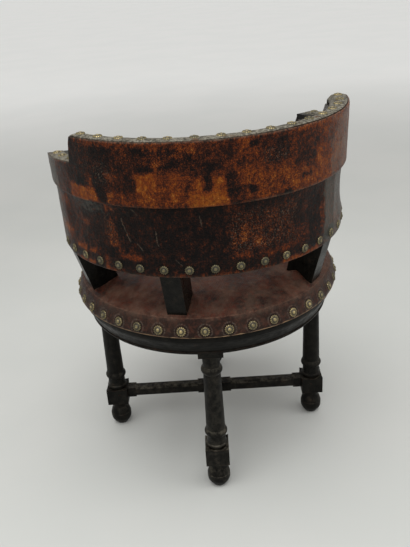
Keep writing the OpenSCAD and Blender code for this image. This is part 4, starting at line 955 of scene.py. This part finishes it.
# Leather over the front end of each arm
endShape = dict(angle=98.3, corner=0.0060, thickness=0.0022)
outline = []
tipTop = topHeight(chair["tipAngle"])
for i in range(25):
    z = mix(railFoot, tipTop - 0.002, i / 24)
    rounded = endShape["corner"] * ease(tipTop - 0.018, tipTop - 0.002, z)
    outline.append((faceRadius(endShape["angle"], i / 24, z) + rounded, z))
for i in range(17):
    z = mix(tipTop - 0.0015, chair["backFoot"], i / 16)
    outline.append(((upperRadius(z) if z > chair["crease"] else lowerRadius(z)) - 0.0002, z))
for side, name in ((1, "right"), (-1, "left")):
    bm = bmesh.new()
    verts = [bm.verts.new(around(side * endShape["angle"], r, z)) for r, z in outline]
    face = bm.faces.new(verts)
    outward = (around(side * 100, 0.3, 0) - around(side * 98, 0.3, 0)).normalized()
    for width, rise in ((0.002, 0.0006), (0.004, 0.0006), (0.008, 0.0004)):
        face = max(bm.faces, key=lambda f: f.calc_area())
        bmesh.ops.inset_region(bm, faces=[face], thickness=width, depth=0.0)
        face = max(bm.faces, key=lambda f: f.calc_area())
        bmesh.ops.translate(bm, vec=outward * rise, verts=face.verts)
    bmesh.ops.triangulate(bm, faces=[max(bm.faces, key=lambda f: f.calc_area())])
    faceOut(bm, lambda co: outward)
    end = addPiece("arm_end_leather_" + name, bm, liningLeather, ["arm_end_" + name])
    finishWith(end, "SOLIDIFY", thickness=endShape["thickness"], offset=-1.0)
print("arm ends made")

# Webbing and hessian
webbing = dict(width=0.050, thickness=0.0016, pitch=0.084, count=5, level=0.4483, reach=0.255, weave=0.0010)
bm = bmesh.new()
for way in (0, 1):
    for i in range(webbing["count"]):
        off = (i - (webbing["count"] - 1) / 2) * webbing["pitch"]
        half = math.sqrt(webbing["reach"] ** 2 - (abs(off) + webbing["width"] / 2) ** 2)
        grid = bmesh.ops.create_grid(bm, x_segments=60, y_segments=4, size=0.5)["verts"]
        bmesh.ops.scale(bm, vec=(2 * half, webbing["width"], 1), verts=grid)
        bmesh.ops.translate(bm, vec=(0, off, webbing["level"]), verts=grid)
        for v in grid:  # over one strap and under the next
            cross = math.cos(math.pi * v.co.x / webbing["pitch"]) * (-1) ** i
            v.co.z += (webbing["weave"] if way else -webbing["weave"]) * cross
        if way:
            bmesh.ops.rotate(bm, cent=(0, 0, 0), matrix=Matrix.Rotation(math.pi / 2, 3, "Z"), verts=grid)
web = addPiece("seat_webbing_straps", bm, juteWeave, ["seat_webbing"])
finishWith(web, "SOLIDIFY", thickness=webbing["thickness"], offset=0.0)

sacking = dict(radius=0.252, level=0.4512, rings=(0.05, 0.07, 0.07), thickness=0.0008, half=97.4, backThickness=0.0006,
               heights=(0.556, 0.58, 0.61, 0.64, 0.67, 0.692, 0.712))
bm = bmesh.new()
disc = bmesh.ops.create_circle(bm, cap_ends=True, cap_tris=False, segments=96, radius=sacking["radius"])["verts"]
bmesh.ops.translate(bm, vec=(0, 0, sacking["level"]), verts=disc)
for width in sacking["rings"]:
    middle = max(bm.faces, key=lambda f: f.calc_area())
    bmesh.ops.inset_region(bm, faces=[middle], thickness=width, depth=0.0)
hessian = addPiece("seat_hessian_cloth", bm, juteWeave, ["seat_hessian"])
finishWith(hessian, "SOLIDIFY", thickness=sacking["thickness"], offset=1.0)

profile = [(supportRadius(z) - padShape["offFrame"], z) for z in sacking["heights"]]
bm = spun(profile, -sacking["half"], sacking["half"], 120)
hessian = addPiece("back_hessian_cloth", bm, juteWeave, ["back_hessian"])
finishWith(hessian, "SOLIDIFY", thickness=sacking["backThickness"], offset=0.0)
print("webbing and hessian made")

# Rosette nails
rosette = dict(
    petals=14,
    outer=[(1.00, 0.00), (0.98, 0.13), (0.80, 0.33), (0.54, 0.24), (0.44, 0.27), (0.32, 0.42), (0.13, 0.48)],
    valley=[(0.88, 0.00), (0.86, 0.07), (0.74, 0.17), (0.54, 0.16), (0.44, 0.27), (0.32, 0.42), (0.13, 0.48)],
    shade=[0.25, 0.0, 0.15, 0.90, 0.95, 0.50, 0.20], valleyShade=[1.0, 1.0, 0.90, 1.0, 0.95, 0.50, 0.20])


def rosetteHead():
    bm = bmesh.new()
    bmesh.ops.create_circle(bm, cap_ends=False, segments=2 * rosette["petals"], radius=1.0)
    loop = bm.edges[:]
    for ring in range(len(rosette["outer"])):
        if ring:
            made = bmesh.ops.extrude_edge_only(bm, edges=loop)["geom"]
            verts = [g for g in made if isinstance(g, bmesh.types.BMVert)]
            loop = [g for g in made if isinstance(g, bmesh.types.BMEdge)]
        else:
            verts = bm.verts[:]
        for v in verts:
            a = math.atan2(v.co.y, v.co.x)
            petal = round(a * rosette["petals"] / math.pi) % 2 == 0
            r, z = (rosette["outer"] if petal else rosette["valley"])[ring]
            v.co = Vector((r * math.cos(a), r * math.sin(a), z))
    bmesh.ops.contextual_create(bm, geom=loop)
    cap = max(bm.faces, key=lambda f: len(f.verts))
    bmesh.ops.poke(bm, faces=[cap])
    bmesh.ops.recalc_face_normals(bm, faces=bm.faces)
    return meshOf("rosette", bm)


head = rosetteHead()
headShade = []
for v in head.vertices:
    r, a = math.hypot(v.co.x, v.co.y), math.atan2(v.co.y, v.co.x)
    petal = round(a * rosette["petals"] / math.pi) % 2 == 0
    rings = rosette["outer"] if petal else rosette["valley"]
    nearest = min(range(len(rings)), key=lambda i: abs(rings[i][0] - r) + abs(rings[i][1] - v.co.z))
    headShade.append(0.15 if r < 0.05 else (rosette["shade"] if petal else rosette["valleyShade"])[nearest])


def nailRow(name, places, row, replaced):  # places are (point, outward direction)
    sunk = 0.0004
    bm = bmesh.new()
    ages = []
    for i, (point, outward) in enumerate(places):
        start = len(bm.verts)
        bm.from_mesh(head)
        bm.verts.ensure_lookup_table()
        verts = bm.verts[start:]
        tilt = Vector((wobble((i, 0, 0), 0.7, 1.0), wobble((i, 5, 0), 0.7, 2.0), wobble((i, 9, 0), 0.7, 3.0))) * 0.06
        turn = (outward + tilt).normalized().to_track_quat("Z", "Y").to_matrix().to_4x4()
        spin = Matrix.Rotation(2.4 * i, 4, "Z")
        place = Matrix.Translation(point - outward * sunk) @ turn @ spin @ Matrix.Scale(row["size"] / 2, 4)
        bmesh.ops.transform(bm, matrix=place, verts=verts)
        ages.append(max(0.0, min(1.0, row["dull"] + 0.45 * wobble((i, 2, 0), 0.6, 4.0))))
    piece = addPiece(name, bm, nailBrass, [replaced])
    layer = piece.data.color_attributes.new(name="relief", type="FLOAT_COLOR", domain="POINT")
    count = len(headShade)
    for i in range(len(piece.data.vertices)):
        layer.data[i].color = (headShade[i % count], ages[i // count], 0.0, 1.0)


def outFrom(angle, lean=0.0):
    a = math.radians(angle)
    return Vector((-math.sin(a) * math.cos(lean), math.cos(a) * math.cos(lean), math.sin(lean)))


def centred(row):  # the angles of a row that is even about the middle of the back
    return [(i - (row["count"] - 1) / 2) * row["apart"] for i in range(row["count"])]


row = nails["seat"]
places = []
for i in range(row["count"]):
    a = (i + 0.5) * row["apart"]
    places.append((around(a, row["radius"], row["height"]), outFrom(a, row["lean"])))
nailRow("seat_rosettes", places, row, "seat_nails")
row = nails["band"]
places = [(around(a, lowerRadius(row["height"]), row["height"]), outFrom(a)) for a in centred(row)]
nailRow("band_rosettes", places, row, "band_nails")
row = nails["crest"]
raised = 0.0010
places = []
for i in range(row["count"]):
    spot = around(row["first"] + i * row["apart"], row["radius"], chair["crestTop"] + raised)
    places.append((spot, Vector((0, 0, 1))))
for side in (1, -1):
    for i in range(nails["arm"]["count"]):
        a = side * (nails["arm"]["first"] + i * nails["arm"]["apart"])
        upright = Vector((0, 0, 1)) - chair["armFall"] * outFrom(a + side * 90)
        places.append((around(a, row["radius"], topHeight(a, row["radius"]) + raised), upright.normalized()))
nailRow("crest_rosettes", places, row, "crest_nails")
row = nails["lining"]
liningRadius = supportRadius(row["height"]) - padShape["back"] - padShape["stuffing"] * row["stuffed"]
places = [(around(a, liningRadius, row["height"]), -outFrom(a)) for a in centred(row)]
nailRow("lining_rosettes", places, row, "lining_nails")
row = nails["end"]
places = []
for side in (1, -1):
    for i in range(row["count"]):
        z = mix(row["low"], row["high"], i / (row["count"] - 1))
        spot = around(side * row["angle"], (supportRadius(z) + lowerRadius(z)) / 2, z)
        places.append((spot, outFrom(side * (row["angle"] + 90))))
nailRow("arm_end_rosettes", places, row, "arm_end_nails")
print("nails made")

# Floor, light and camera
stage = dict(reach=40.0, dark="caccc8", pale="cfd0cc", nearGlow=0.0, farGlow=0.34, glowFrom=1.4, glowTo=6.0)
floorTone, tree, shader, coords = newMaterial("pale studio paper", 0.75)
soft = noiseAt(tree, coords["Object"], 1.6, 4, 0.5)
feed(tree, blend(tree, step(tree, soft, 0.3, 0.7), tone(stage["dark"]), tone(stage["pale"])), shader["Base Color"])
shader["Emission Color"].default_value = (1.0, 1.0, 1.0, 1.0)
seen = addNode(tree, "LightPath").outputs
direct = calc(tree, "ADD", seen["Is Camera Ray"], seen["Is Glossy Ray"])
direct = calc(tree, "ADD", direct, seen["Is Transmission Ray"], clamp=True)
far = vectorCalc(tree, "LENGTH", coords["Object"])
glow = step(tree, far, stage["glowFrom"], stage["glowTo"], stage["nearGlow"], stage["farGlow"])
feed(tree, times(tree, direct, glow), shader["Emission Strength"])
bm = bmesh.new()
bmesh.ops.create_circle(bm, cap_ends=True, segments=96, radius=stage["reach"])
floor = placed("studio_floor", meshOf("studio_floor", bm))
floor.data.materials.append(floorTone)

world.use_nodes = True
sky = world.node_tree.nodes["Background"]
sky.inputs["Color"].default_value = (1.0, 0.99, 0.975, 1.0)
sky.inputs["Strength"].default_value = 0.55
lamps = dict(overhead=(Vector((0.5, 0.6, 2.6)), 2.6, 52.0), window=(Vector((-2.3, 1.6, 1.9)), 1.8, 16.0))
for name, (spot, size, power) in lamps.items():
    light = bpy.data.lights.new(name, "AREA")
    light.size = size
    light.energy = power
    lamp = placed(name, light)
    lamp.location = spot
    lamp.rotation_mode = "QUATERNION"
    lamp.rotation_quaternion = (Vector((0, 0, 0.4)) - spot).to_track_quat("-Z", "Y")

view = dict(place=(0.5026, 1.3093, 1.0743), turn=159.0, yaw=-0.1654, down=25.3194, roll=-4.0422, lens=43.107)
yaw, down, roll = (math.radians(view[key]) for key in ("yaw", "down", "roll"))
forward = Vector((math.sin(yaw) * math.cos(down), math.cos(yaw) * math.cos(down), -math.sin(down)))
level = Vector((math.cos(yaw), -math.sin(yaw), 0))
upright = level.cross(forward)
right = math.cos(roll) * level + math.sin(roll) * upright
above = -math.sin(roll) * level + math.cos(roll) * upright
lens = bpy.data.cameras.new("camera")
lens.lens = view["lens"]
lens.sensor_width = 36.0
camera = placed("camera", lens)
turned = Matrix.Rotation(math.radians(view["turn"]), 3, "Z")
axes = Matrix([turned @ right, turned @ above, turned @ -forward]).transposed().to_4x4()
camera.matrix_world = Matrix.Translation(view["place"]) @ axes
scene.camera = camera
print("stage, light and camera set")
